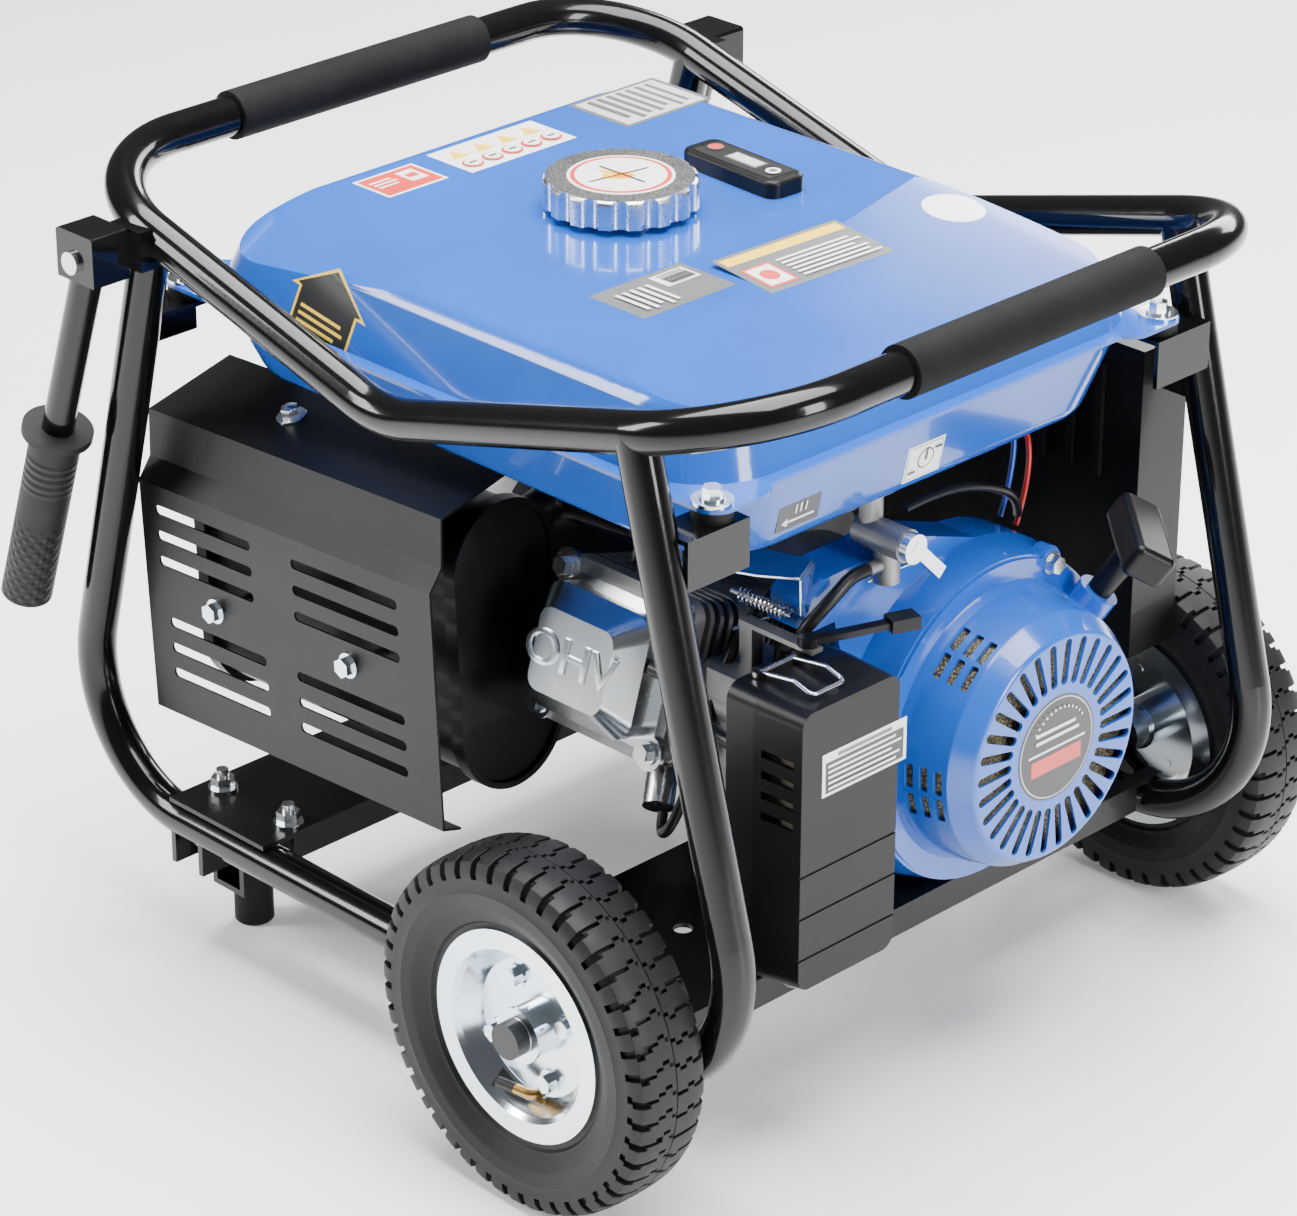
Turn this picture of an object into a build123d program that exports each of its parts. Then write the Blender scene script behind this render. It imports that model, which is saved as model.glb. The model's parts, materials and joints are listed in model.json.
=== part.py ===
from build123d import *
import math
import os

# Open-frame portable generator on two wheels.  Millimetres, +Z up, ground at Z = 0.
# +X is the recoil starter and wheel end, -X the alternator end, -Y the cylinder head side.

# ---- driving dimensions -------------------------------------------------------------
fit = 0.05              # radial running fit of a shaft or pin in its bore
gap = 0.3               # clearance between pieces that move past each other

tube_r = 12.5           # frame tube
frame_half_w = 226.0    # centre of the side tubes from the middle
rail_z = 83.0           # centre height of the bottom rails
post_foot_x = 305.0     # where post and rail lines meet
post_top_x = 203.0      # post centre where it meets the top ring
rail_bend_r = 85.0
ring_half_l = 279.0     # top ring end bars
ring_end_z = rail_z + 412.0
ring_dip_z = ring_end_z - 77.0
ring_bend_r = 80.0
foam_r = 15.5
foam_half_l = 102.0

plate_t = 3.0           # pressed cross plates
sheet_t = 1.5           # covers and panels
front_plate_x = (-204.0, -114.0)
plate_bolt_y = 203.0
rear_plate_x = (62.0, 208.0)

foot_x = -185.0
foot_y = 185.0
foot_r = 12.6
foot_h = 28.0
weld_in = 1.5           # how far bracket edges stop inside the tube's outline

wheel_r = rail_z + 27.0
wheel_x = 169.0
wheel_y = frame_half_w + 42.0        # mid plane of each wheel
tyre_w = 54.0
rim_w = 40.0
rim_r = 65.0            # flange of the rim
axle_r = 10.0
rib_half = 26.0         # gussets each side of an axle sleeve
hub_half = 15.0
disc_at = 5.5           # outer face of the wheel disc from the mid plane
rim_bolt_r = 32.0

handle_y = frame_half_w + 32.0
handle_pivot = (-222.0, ring_end_z - 33.0)
handle_lean = 18.8      # degrees from vertical at rest
handle_tube_r = 10.0
handle_len = 262.0
handle_grip_len = 132.0
handle_grip_r = 16.0
pin_r = 4.0

tank_l = 440.0
tank_w = 384.0
tank_flange_z = ring_end_z - 70.0
tank_top_z = tank_flange_z + 47.0
tank_bottom_z = tank_flange_z - 53.0
tank_wall = 2.0
tank_slopes = (((-90.0, -139.0), 247.0, 15.0), ((82.0, 22.0), 14.0, 6.5))   # point, heading and fall
tank_bolt = (222.0, 187.0)
mount_h = 7.0           # rubber under each tank ear
cap_x = -40.0
cap_r = 47.0
cap_h = 18.0
neck_r = 36.0
neck_bore = 30.0
petcock_at = (222.0, -30.0)

crank_y = 50.0          # shaft line of engine and alternator
crank_z = rail_z + 126.0
shaft_r = 12.0
lean = 17.0             # cylinder above the horizontal
cyl_x = 88.0
block_x = (62.0, 166.0)
block_wall = 7.0
base_z = rail_z + 21.0   # underside of engine and alternator feet
head_l = (140.0, 192.0) # cylinder head along the bore, from the crank line
intake_l = 158.0        # carburettor along the bore
port_l = 152.0          # exhaust port and spark plug along the bore
cover_h = 34.0
cover_w = (86.0, 76.0)  # raised part of the valve cover
cover_bolt = (46.0, 42.0)
cover_shoulder = 15.0

blower_x = (168.0, 222.0)
blower_r = 108.0
starter_r = 98.0
starter_face_x = 273.0
starter_face_r = 77.0
starter_ears = (62.0, 168.0, 285.0)     # degrees round the shaft line
ear_reach = 99.0
fan_r = 86.0
rope_exit = (243.0, 121.0, crank_z + 69.0)
rope_dir = (0.45, 0.30, 0.84)

cleaner_x = (205.0, 226.0, 262.0)   # back, split line, front
cleaner_y = (-157.0, -74.0)
cleaner_z = (crank_z - 92.0, crank_z + 91.0)
clip_x = 212.0
clip_y = -124.0
clip_pin_r = 1.6

choke_at = (212.0, -99.0, crank_z + 97.0)     # pivot of the choke lever over the air cleaner
choke_turn = 70.0

muffler_x = (-225.0, 16.0)
muffler_y = -146.0
muffler_half_w = 41.0
muffler_z = (crank_z - 49.0, crank_z + 136.0)
shield_x = (-244.0, 22.0)
shield_y = -212.0
shield_bolt_places = ((-177.0, crank_z + 31.0), (-54.0, crank_z + 32.0))
muffler_tilt = 3.0      # the silencer and its shield droop towards the alternator end

stator_r = 84.0
stator_bore = 56.5
bell_r = 92.0
alt_x = (-210.0, -158.0, -120.0, 10.0, 34.0)   # cover end, bracket, stator, bell, engine face

box_x = 205.0           # control box
box_y = (frame_half_w - 28.0, frame_half_w + 12.0)
box_z = (crank_z - 19.0, crank_z + 186.0)

near, far = -1, 1


# ---- helpers ------------------------------------------------------------------------
def block(x, y, z):
    """Box from (low, high) pairs."""
    size = (x[1] - x[0], y[1] - y[0], z[1] - z[0])
    mid = ((x[0] + x[1]) / 2, (y[0] + y[1]) / 2, (z[0] + z[1]) / 2)
    return Pos(*mid) * Box(*size)


def rod(start, axis, radius, length):
    """Cylinder that starts at a point and runs along an axis."""
    return Plane(origin=start, z_dir=axis) * Cylinder(radius, length, align=(Align.CENTER, Align.CENTER, Align.MIN))


def ring(start, axis, outer, inner, length):
    return rod(start, axis, outer, length) - rod(start, axis, inner, length)


def pipe(points, radii, radius, bore=0.0, closed=False):
    """Round tube along straight runs joined by tangent arcs."""
    path = FilletPolyline(*points, radius=radii, close=closed)
    at = 0.5 if closed else 0.0
    section = Plane(origin=path @ at, z_dir=path % at) * Circle(radius)
    if bore:
        section = section - Plane(origin=path @ at, z_dir=path % at) * Circle(bore)
    return sweep(section, path=path)


def cord(points, radius):
    """Flexible line: every arc is as large as its two runs allow."""
    pts = [Vector(*p) for p in points]
    radii = []
    for a, b, c in zip(pts, pts[1:], pts[2:]):
        turn = math.radians((b - a).get_angle(c - b))
        radii.append(0.45 * min((b - a).length, (c - b).length) / math.tan(turn / 2))
    print("cord radii", [round(r, 1) for r in radii])
    return pipe(points, radii, radius)


def hex_nut(start, axis, across, height):
    """Hexagon with a round washer flange under it."""
    plane = Plane(origin=start, z_dir=axis)
    nut = plane * extrude(RegularPolygon(across / 2, 6, major_radius=False), height)
    return nut + rod(start, axis, across * 0.72, height * 0.22)


def along_bore(distance, side=0.0, up=0.0):
    """Point in the cylinder's own frame: along the bore, along X, and square to both."""
    a = math.radians(lean)
    y = crank_y - distance * math.cos(a) + up * math.sin(a)
    z = crank_z + distance * math.sin(a) + up * math.cos(a)
    return (cyl_x + side, y, z)


def bore_plane(distance):
    """Plane square to the bore, its local X along world X and its normal outwards."""
    a = math.radians(lean)
    return Plane(origin=along_bore(distance), x_dir=(1, 0, 0), z_dir=(0, -math.cos(a), math.sin(a)))


def sheet(points, thickness):
    """Closed outline of a bent sheet, offset to the left of the given open line."""
    line = [Vector(*p) for p in points]
    dirs = [(b - a).normalized() for a, b in zip(line, line[1:])]
    normals = [Vector(-d.Y, d.X) for d in dirs]
    inner = []
    for i, p in enumerate(line):
        n1 = normals[max(i - 1, 0)]
        n2 = normals[min(i, len(normals) - 1)]
        mitre = (n1 + n2).normalized()
        inner.append(p + mitre * (thickness / mitre.dot(n1)))
    return make_face(Polyline(*line, *reversed(inner), close=True))


def both(maker):
    """The same piece on the near and the far side."""
    return [maker(near), maker(far)]


# ---- frame --------------------------------------------------------------------------
def ring_points():
    w, l = frame_half_w, ring_half_l
    return [(0, -w, ring_dip_z), (-l, -w, ring_end_z), (-l, w, ring_end_z),
            (0, w, ring_dip_z), (l, w, ring_end_z), (l, -w, ring_end_z)]


def top_ring_solid():
    return pipe(ring_points(), [ring_bend_r] * 6, tube_r, closed=True)


def ring_side_z(x):
    """Centre height of the sloping side of the ring."""
    return ring_dip_z + (ring_end_z - ring_dip_z) * abs(x) / ring_half_l


def side_frame(side, top_ring):
    top_z = ring_side_z(post_top_x)
    y = side * frame_half_w
    points = [(-post_top_x, y, top_z), (-post_foot_x, y, rail_z), (post_foot_x, y, rail_z), (post_top_x, y, top_z)]
    return pipe(points, [rail_bend_r, rail_bend_r], tube_r) - top_ring


def foam_grips():
    bars = []
    for end in (-1, 1):
        bars.append(ring((end * ring_half_l, -foam_half_l, ring_end_z), (0, 1, 0), foam_r, tube_r + 0.1, 2 * foam_half_l))
    return bars


def rail_top():
    return rail_z + tube_r


def cross_plates(side_frames):
    top = rail_top()
    ends = frame_half_w + 8
    inside = frame_half_w - tube_r - 4
    plates = []
    for x in (front_plate_x, rear_plate_x):
        plate = block(x, (-ends, ends), (top, top + plate_t))
        for edge in (x[0], x[1] - plate_t):
            plate += block((edge, edge + plate_t), (-inside, inside), (top - 16, top))
        mid = (x[0] + x[1]) / 2
        for y in (-120, -60, 0, 60, 120):
            plate -= rod((mid, y, top - 1), (0, 0, 1), 9 if y % 120 else 6, plate_t + 2)
        plates.append(plate)
    for side in (near, far):
        plates[1] -= Pos(wheel_x, side * (ends - 10), top) * Box(2 * rib_half + 4, 64, 12)
        for x in bolt_x():
            plates[0] -= rod((x, side * plate_bolt_y, top - 1), (0, 0, 1), 4, plate_t + 2)
    plates[0] -= Pos(front_plate_x[0] + 22, 0, top + 1) * Box(10, 60, 10)
    return [plate - side_frames[0] - side_frames[1] for plate in plates]


def bolt_x():
    return (front_plate_x[0] + 15, front_plate_x[1] - 12)


def foot_bracket(side, tube):
    outer = frame_half_w + tube_r - weld_in
    y = sorted((side * (foot_y - foot_r - 8), side * outer))
    x = (foot_x - 15, foot_x + 15)
    plate = block(x, y, (foot_h, foot_h + 4))
    for edge in (x[0], x[1] - 4):
        plate += block((edge, edge + 4), y, (foot_h + 4, rail_z - weld_in))
    plate -= block((x[0] - 1, x[1] + 1), sorted((side * (foot_y + 20), side * (outer + 1))), (foot_h - 1, rail_z - 27))
    plate -= block((x[0] - 1, x[1] + 1), sorted((side * (foot_y - 40), side * (foot_y + 18))), (rail_z - 21, rail_z + 1))
    plate -= rod((foot_x, side * foot_y, foot_h - 1), (0, 0, 1), pin_r, 6)
    return plate - tube


def axle_bracket(side, tube):
    inner, outer = frame_half_w - 20, frame_half_w + 12
    start = (wheel_x, side * inner, wheel_r)
    sleeve_r = wheel_r - rail_top()
    body = rod(start, (0, side, 0), sleeve_r, outer - inner)
    for y in (frame_half_w - 4, frame_half_w + 6):
        outline = Polyline((-rib_half, rail_z), (rib_half, rail_z), (rib_half, rail_top() + 3), (8, wheel_r),
                           (-8, wheel_r), (-rib_half, rail_top() + 3), close=True)
        body += Pos(wheel_x, side * y + (4 if side < 0 else 0), 0) * Rot(X=90) * extrude(make_face(outline), -4)
    return body - rod(start, (0, side, 0), axle_r, outer - inner) - tube


def tank_bracket(end, side):
    x = end * tank_bolt[0]
    inner = frame_half_w - tube_r
    y = sorted((side * (tank_bolt[1] - 15), side * (inner + 6)))
    top = tank_flange_z - mount_h
    tab = block(sorted((x - 14, x + 14)), y, (top - plate_t, top))
    web = block(sorted((x + end * 11, x + end * 14)), y, (top - 30, top))
    return tab + web - rod((x, side * tank_bolt[1], top - 10), (0, 0, 1), pin_r, 20)


def handle_bracket(side, frame_tubes):
    """Cheeks, roof and back of the handle pivot, welded to the frame by a short block."""
    x0, z0 = handle_pivot
    cheek = handle_tube_r + 0.5
    roof_z = z0 + 16
    x = (x0 - 15, x0 + 19)
    z = (z0 - 12, roof_z + 3)
    across = sorted((side * (handle_y - cheek - 3), side * (handle_y + cheek + 3)))
    body = block(x, across, z) - block((x[0] - 1, x[1] - 3), (across[0] + 3, across[1] - 3), (z[0] - 1, roof_z))
    body = fillet(body.edges().filter_by(Axis.Y).group_by(Axis.Z)[-1], 2.5)
    weld = sorted((side * frame_half_w, side * (handle_y - cheek - 3)))
    body += block((x0 + 2, x0 + 30), weld, (z0 - 6, z0 + 19))
    body -= rod((x0, side * (handle_y - 30), z0), (0, side, 0), pin_r, 60)
    return body - frame_tubes


def frame_brackets(side_frames, top_ring):
    pieces = []
    for side, tube in zip((near, far), side_frames):
        pieces.append(foot_bracket(side, tube))
        pieces.append(axle_bracket(side, tube))
        for end in (-1, 1):
            pieces.append(tank_bracket(end, side) - tube)
        pieces.append(handle_bracket(side, tube + top_ring))
    return pieces


def rubber_feet():
    feet = []
    for side in (near, far):
        foot = rod((foot_x, side * foot_y, 0), (0, 0, 1), foot_r, foot_h)
        foot = chamfer(foot.edges().group_by(Axis.Z)[0], 1.5)
        feet.append(foot - rod((foot_x, side * foot_y, 10), (0, 0, 1), pin_r, foot_h))
    return feet


def pivot_pins():
    """Two wheel axles and two handle pins, each with its head and keeper."""
    pins = []
    hub_out = wheel_y + hub_half + gap
    for side in (near, far):
        out = (0, side, 0)
        axle = rod((wheel_x, side * (frame_half_w - 24), wheel_r), out, axle_r, hub_out - frame_half_w + 24)
        axle += rod((wheel_x, side * (frame_half_w - 24), wheel_r), out, 14, 4)
        axle += rod((wheel_x, side * (frame_half_w + 12), wheel_r), out, 14, wheel_y - hub_half - gap - frame_half_w - 12)
        axle += rod((wheel_x, side * hub_out, wheel_r), out, 17, 2.5)
        axle += rod((wheel_x, side * (hub_out + 2.5), wheel_r), out, 11, 10)
        pins.append(axle)
        reach = handle_tube_r + 3.5
        pin = rod((handle_pivot[0], side * (handle_y - reach), handle_pivot[1]), out, pin_r, 2 * reach)
        pin += rod((handle_pivot[0], side * (handle_y + reach), handle_pivot[1]), out, 7, 3)
        pins.append(pin)
    return pins


# ---- wheels and handles -------------------------------------------------------------
def turned(profile, side):
    """Revolve a (radius, offset) outline about the wheel axis; offset is outwards."""
    face = make_face(profile)
    solid = revolve(face, Axis.Z)
    return Pos(wheel_x, side * wheel_y, wheel_r) * Rot(X=-90 * side) * solid


def tyre(side):
    half = tyre_w / 2
    bead = rim_r - 12
    with_flange = rim_w / 2 - 2.2
    outline = [(bead, -with_flange), (rim_r + 3, -with_flange), (rim_r + 22, -half), (wheel_r - 12, -half + 3),
               (wheel_r, -half + 13), (wheel_r, half - 13), (wheel_r - 12, half - 3), (rim_r + 22, half),
               (rim_r + 3, with_flange), (bead, with_flange), (bead, with_flange - 9), (rim_r + 4, with_flange - 9),
               (rim_r + 20, half - 8), (wheel_r - 13, half - 10), (wheel_r - 10, half - 17),
               (wheel_r - 10, -half + 17), (wheel_r - 13, -half + 10), (rim_r + 20, -half + 8),
               (rim_r + 4, -with_flange + 9), (bead, -with_flange + 9)]
    return turned(Polyline(*[(r, 0, z) for r, z in outline], close=True), side)


def rim(side):
    half = rim_w / 2
    t = 2.0
    bead = rim_r - 12
    drop = bead - 8
    flange = [(rim_r, half), (rim_r, half - t), (bead, half - t), (bead, half - 12), (drop, half - 16),
              (drop, -half + 16), (bead, -half + 12), (bead, -half + t), (rim_r, -half + t), (rim_r, -half),
              (bead - t, -half), (bead - t, -half + 11), (drop - t, -half + 15), (drop - t, disc_at - 2.5),
              (16, disc_at - 2.5), (16, -hub_half), (axle_r + fit, -hub_half), (axle_r + fit, hub_half),
              (16, hub_half), (16, disc_at), (drop - 3, disc_at), (bead - 3, half - 3), (bead, half)]
    disc = turned(Polyline(*[(r, 0, z) for r, z in flange], close=True), side)
    out = (0, side, 0)
    face_y = wheel_y + disc_at
    pieces = []
    for k in range(4):
        a = math.radians(25 + 90 * k)
        x, z = wheel_x + rim_bolt_r * math.cos(a), wheel_r + rim_bolt_r * math.sin(a)
        disc -= rod((x, side * (face_y - 4), z), out, 3, 6)
        pieces.append(rod((x, side * (face_y - 3), z), out, 3, 3) + hex_nut((x, side * face_y, z), out, 10, 6.5))
    foot = (wheel_x + 8, side * face_y, wheel_r - 38)
    bend = (foot[0], side * (face_y + 8), foot[2])
    valve = pipe([foot, bend, (foot[0] - 24, side * (face_y + 13), foot[2] + 1)], [5], 3.2)
    return [disc] + pieces + [valve]


def handle_dir():
    a = math.radians(handle_lean)
    return Vector(-math.sin(a), 0, -math.cos(a))


def handle_tube(side):
    start = Vector(handle_pivot[0], side * handle_y, handle_pivot[1])
    d = handle_dir()
    tube = rod(start - d * 11, d, handle_tube_r, handle_len + 11 - 4)
    return tube - rod((start.X, side * (handle_y - 20), start.Z), (0, side, 0), pin_r + fit, 40)


def handle_grip(side):
    start = Vector(handle_pivot[0], side * handle_y, handle_pivot[1])
    d = handle_dir()
    first = start + d * (handle_len - handle_grip_len)
    grip = rod(first, d, handle_grip_r, handle_grip_len) + rod(first, d, handle_grip_r + 6, 5)
    return grip - rod(start, d, handle_tube_r + 0.1, handle_len - 4)


# ---- fuel tank ----------------------------------------------------------------------
def tank_loft(low_z, low, high_z, high):
    faces = []
    for z, (x, y, r) in ((low_z, low), (high_z, high)):
        faces.append(Pos(0, 0, z) * RectangleRounded(x, y, r))
    return loft(faces)


def flange_plate(z):
    """Seam flange with four bolt ears."""
    plate = extrude(Pos(0, 0, z) * RectangleRounded(tank_l + 16, tank_w + 16, 52), 1.2)
    for end in (-1, 1):
        for side in (near, far):
            ear = Pos(end * (tank_bolt[0] - 14), side * (tank_bolt[1] - 14), z) * RectangleRounded(56, 52, 14)
            plate += extrude(ear, 1.2)
            plate -= rod((end * tank_bolt[0], side * tank_bolt[1], z - 1), (0, 0, 1), pin_r, 4)
    return plate


def tank_facets(z):
    """The two slopes pressed beside the raised middle of the tank top; z is its height."""
    cuts = []
    for (x, y), turn, fall in tank_slopes:
        cuts.append(Pos(x, y, z) * Rot(Z=turn) * Rot(Y=fall) * Pos(300, 0, 100) * Box(600, 900, 200))
    return cuts


def tank_upper_shell():
    z0 = tank_flange_z + 1.2
    outer = tank_loft(z0, (tank_l, tank_w, 55), tank_top_z, (tank_l - 36, tank_w - 32, 48))
    outer = fillet(outer.edges().group_by(Axis.Z)[-1], 16)
    w = tank_wall
    inner = tank_loft(z0 - 1.2, (tank_l - 2 * w, tank_w - 2 * w, 53), tank_top_z - w, (tank_l - 36 - 2 * w, tank_w - 32 - 2 * w, 46))
    inner = fillet(inner.edges().group_by(Axis.Z)[-1], 14)
    for cut in tank_facets(tank_top_z):
        outer -= cut
    for cut in tank_facets(tank_top_z - w):
        inner -= cut
    shell = outer + flange_plate(z0) - inner
    neck = rod((cap_x, 0, tank_top_z - 34), (0, 0, 1), neck_r, 38)
    shell = shell + neck - rod((cap_x, 0, tank_top_z - 35), (0, 0, 1), neck_bore, 40)
    return shell


def tank_lower_shell():
    z1 = tank_flange_z + 1.2
    top = (tank_l, tank_w, 55)
    bottom = (tank_l - 24, tank_w - 52, 50)
    w = tank_wall
    outer = tank_loft(tank_bottom_z, bottom, z1, top)
    outer = fillet(outer.edges().group_by(Axis.Z)[0], 12)
    inner = tank_loft(tank_bottom_z + w, (bottom[0] - 2 * w, bottom[1] - 2 * w, 48), z1, (top[0] - 2 * w, top[1] - 2 * w, 53))
    inner = fillet(inner.edges().group_by(Axis.Z)[0], 10)
    return outer + flange_plate(tank_flange_z) - inner


def tank_cap():
    z0 = tank_top_z + 4
    body = rod((cap_x, 0, z0 + gap), (0, 0, 1), cap_r, cap_h - gap)
    body = fillet(body.edges().group_by(Axis.Z)[-1], 3)
    for k in range(16):
        a = 2 * math.pi * k / 16
        body -= rod((cap_x + (cap_r + 3.5) * math.cos(a), (cap_r + 3.5) * math.sin(a), z0), (0, 0, 1), 6.5, cap_h + 1)
    plug = ring((cap_x, 0, z0 - 12), (0, 0, 1), neck_bore - gap, neck_bore - 4, 12 + gap)
    return body + plug


def tank_bolts():
    pieces = []
    z = tank_flange_z + 2.4
    for end in (-1, 1):
        for side in (near, far):
            at = (end * tank_bolt[0], side * tank_bolt[1])
            bolt = rod((*at, tank_flange_z - mount_h - plate_t - 4), (0, 0, 1), pin_r, mount_h + plate_t + 8)
            bolt += rod((*at, z), (0, 0, 1), 12, 2) + hex_nut((*at, z + 2), (0, 0, 1), 10, 7)
            pieces.append(bolt)
    return pieces


def fuel_gauge():
    """Clip-on hour meter and gauge on the tank top."""
    body = extrude(Pos(-27, 91, tank_top_z) * Rot(Z=-3) * RectangleRounded(84, 30, 8), 11)
    return fillet(body.edges().group_by(Axis.Z)[-1], 3)


def petcock_body():
    x, y = petcock_at
    top = tank_bottom_z
    body = rod((x - 27, y, top - 22), (0, 0, 1), 7, 22)
    body += rod((x - 34, y, top - 23), (1, 0, 0), 10, 36)
    body += rod((x - 14, y, top - 50), (0, 0, 1), 8, 26)
    return body + rod((x - 14, y, top - 38), (0, -1, 0), 4, 16)


def petcock_lever():
    x, y = petcock_at
    z = tank_bottom_z - 23
    hub = rod((x + 2 + gap, y, z), (1, 0, 0), 9, 6)
    arm = Pos(x + 6, y + 11, z - 10) * Rot(X=-45) * Box(5, 34, 8)
    return hub + arm


# ---- engine -------------------------------------------------------------------------
def shaft_hole(x0, x1, radius):
    return rod((x0, crank_y, crank_z), (1, 0, 0), radius, x1 - x0)


def engine_block():
    """Crankcase and finned cylinder, one casting, bored for the crankshaft."""
    x0, x1 = block_x
    case_r = 66
    case = shaft_hole(x0, x1, case_r) + block((x0, x1), (crank_y - 62, crank_y + 62), (base_z + 12, crank_z))
    case += block((x0 - 2, x1 + 2), (crank_y - 82, crank_y + 82), (base_z, base_z + 12))
    case += bore_plane(60) * Box(84, 92, 60)
    hollow = shaft_hole(x0 + block_wall, x1 - block_wall, case_r - block_wall)
    hollow += block((x0 + block_wall, x1 - block_wall), (crank_y - 54, crank_y + 54), (base_z + 20, crank_z))
    barrel_foot = 50
    barrel = head_l[0] - barrel_foot
    fins = bore_plane(barrel_foot + barrel / 2) * Cylinder(42, barrel)
    for k in range(10):
        fins += bore_plane(head_l[0] - 4 - 4.8 * k) * extrude(RectangleRounded(104, 98, 14), 2.2)
    body = case + fins - hollow
    body -= bore_plane(barrel_foot + barrel / 2 - 20) * Cylinder(34, barrel + 40)
    filler = rod((cyl_x + 20, crank_y + 60, base_z + 42), (0, 0.8, 0.6), 13, 22)
    body += filler - hollow
    body -= rod((cyl_x + 20, crank_y + 60, base_z + 42), (0, 0.8, 0.6), 9, 24)
    return body - shaft_hole(x0 - 5, x1 + 5, shaft_r + fit)


def oil_cap():
    """Dipstick cap screwed into the filler boss."""
    d = Vector(0, 0.8, 0.6)
    at = Vector(cyl_x + 20, crank_y + 60, base_z + 42)
    cap = rod(at + d * (22 + gap), d, 14, 11) + Plane(origin=at + d * 38, x_dir=(1, 0, 0), z_dir=d) * Box(24, 5, 10)
    return cap + rod(at + d * 4, d, 9 - gap, 19)


def cylinder_head():
    low, high = head_l
    body = bore_plane(low) * extrude(RectangleRounded(106, 100, 12), high - low)
    for k in range(4):
        cut = bore_plane(low + 10 + 8 * k) * extrude(RectangleRounded(120, 120, 4) - RectangleRounded(84, 80, 10), 4.5)
        body -= cut
    plug = plug_line()
    body -= rod(plug[0], plug[1], 7, 40)
    return body


def plug_line():
    """Start and direction of the spark plug, on the lower outer corner of the head."""
    start = Vector(*along_bore(port_l, 20, -32))
    d = Vector(0.45, -0.62, -0.64).normalized()
    return (start, d)


def spark_plug():
    start, d = plug_line()
    plug = rod(start + d * 4, d, 6.8, 30)
    return plug + rod(start + d * 34, d, 9.5, 22)


def shouldered_box(size, height):
    """Straight-sided box whose top tapers in by the shoulder on every side."""
    shoulder_z = height - cover_shoulder
    low = RectangleRounded(*size, 14)
    high = RectangleRounded(size[0] - 1.7 * cover_shoulder, size[1] - 1.7 * cover_shoulder, 9)
    return extrude(low, shoulder_z) + loft([Pos(0, 0, shoulder_z) * low, Pos(0, 0, height) * high])


def valve_cover():
    """Pressed cover: an eared flange and a raised box with sloped shoulders."""
    top = head_l[1]
    flange = RectangleRounded(2 * cover_bolt[0] + 4, 2 * cover_bolt[1], 10)
    for x, y in cover_bolt_places():
        flange += Pos(x, y) * Circle(10.5)
    body = bore_plane(top) * extrude(flange, 3)
    body += bore_plane(top) * shouldered_box(cover_w, cover_h)
    inner = (cover_w[0] - 2 * sheet_t, cover_w[1] - 2 * sheet_t)
    body -= bore_plane(top) * shouldered_box(inner, cover_h - sheet_t)
    for x, y in cover_bolt_places():
        body -= bore_plane(top - 1) * Pos(x, y, 0) * Cylinder(3, 20)
    return body


def cover_bolt_places():
    return [(sx * cover_bolt[0], sy * cover_bolt[1]) for sx in (-1, 1) for sy in (-1, 1)]


def engine_bolts():
    """Zinc flange bolts of the valve cover, the starter and the heat shield."""
    pieces = []
    top = head_l[1]
    out = bore_plane(0).z_dir
    for x, y in cover_bolt_places():
        at = bore_plane(top + 3).from_local_coords(Vector(x, y, 0))
        pieces.append(rod(at - out * 3, out, 3, 3) + hex_nut(at, out, 10, 7))
    for a in starter_ears:
        at = ear_point(a, blower_x[1] + 2)
        pieces.append(rod((at[0] - 2, at[1], at[2]), (1, 0, 0), 3, 2) + hex_nut(at, (1, 0, 0), 10, 7))
    for x, z in shield_bolt_places:
        head = hex_nut((x, shield_y, z), (0, -1, 0), 11, 7) + rod((x, shield_y, z), (0, 1, 0), 3.5, muffler_y - muffler_half_w + 4 - shield_y)
        pieces.append(tilted(head))
    return pieces


def ear_point(angle, x):
    a = math.radians(angle)
    return (x, crank_y + ear_reach * math.cos(a), crank_z + ear_reach * math.sin(a))


def blower_outline():
    """Rounded scroll round the fan that runs up over the cylinder."""
    scroll = Pos(crank_y, crank_z) * Circle(blower_r)
    top = crank_z + 124
    shroud = make_face(Polyline((crank_y - 134, top - 12), (crank_y - 122, top), (crank_y - 45, top + 2),
                                (crank_y + 60, crank_z + 90), (crank_y, crank_z), (crank_y - 98, crank_z + 42),
                                (crank_y - 112, top - 30), (crank_y - 134, top - 30), close=True))
    return scroll + shroud


def yz(shape, x):
    """Place a sketch drawn in (Y, Z) on the plane at the given X."""
    return Plane(origin=(x, 0, 0), x_dir=(0, 1, 0), z_dir=(1, 0, 0)) * shape


def blower_housing():
    x0, x1 = blower_x
    mid = x0 + 30
    scroll = Pos(crank_y, crank_z) * Circle(blower_r)
    outer = extrude(yz(blower_outline(), x0), mid - x0)
    outer += loft([yz(scroll, mid), yz(Pos(crank_y, crank_z) * Circle(starter_r + 4), x1)])
    inner_sketch = Pos(crank_y, crank_z) * Circle(blower_r - sheet_t)
    hollow = extrude(yz(offset(blower_outline(), -sheet_t), x0 - 1), mid - x0 + 1 - sheet_t)
    hollow += loft([yz(inner_sketch, mid - sheet_t), yz(Pos(crank_y, crank_z) * Circle(starter_r + 4 - sheet_t), x1 - sheet_t)])
    body = outer - hollow
    for a in starter_ears:
        body += rod(ear_point(a, x1 - 8), (1, 0, 0), 10, 8)
    body -= shaft_hole(x1 - 9, x1 + 2, starter_r - 8)
    for a in starter_ears:
        body -= rod(ear_point(a, x1 - 9), (1, 0, 0), 3, 12)
    return body


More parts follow.
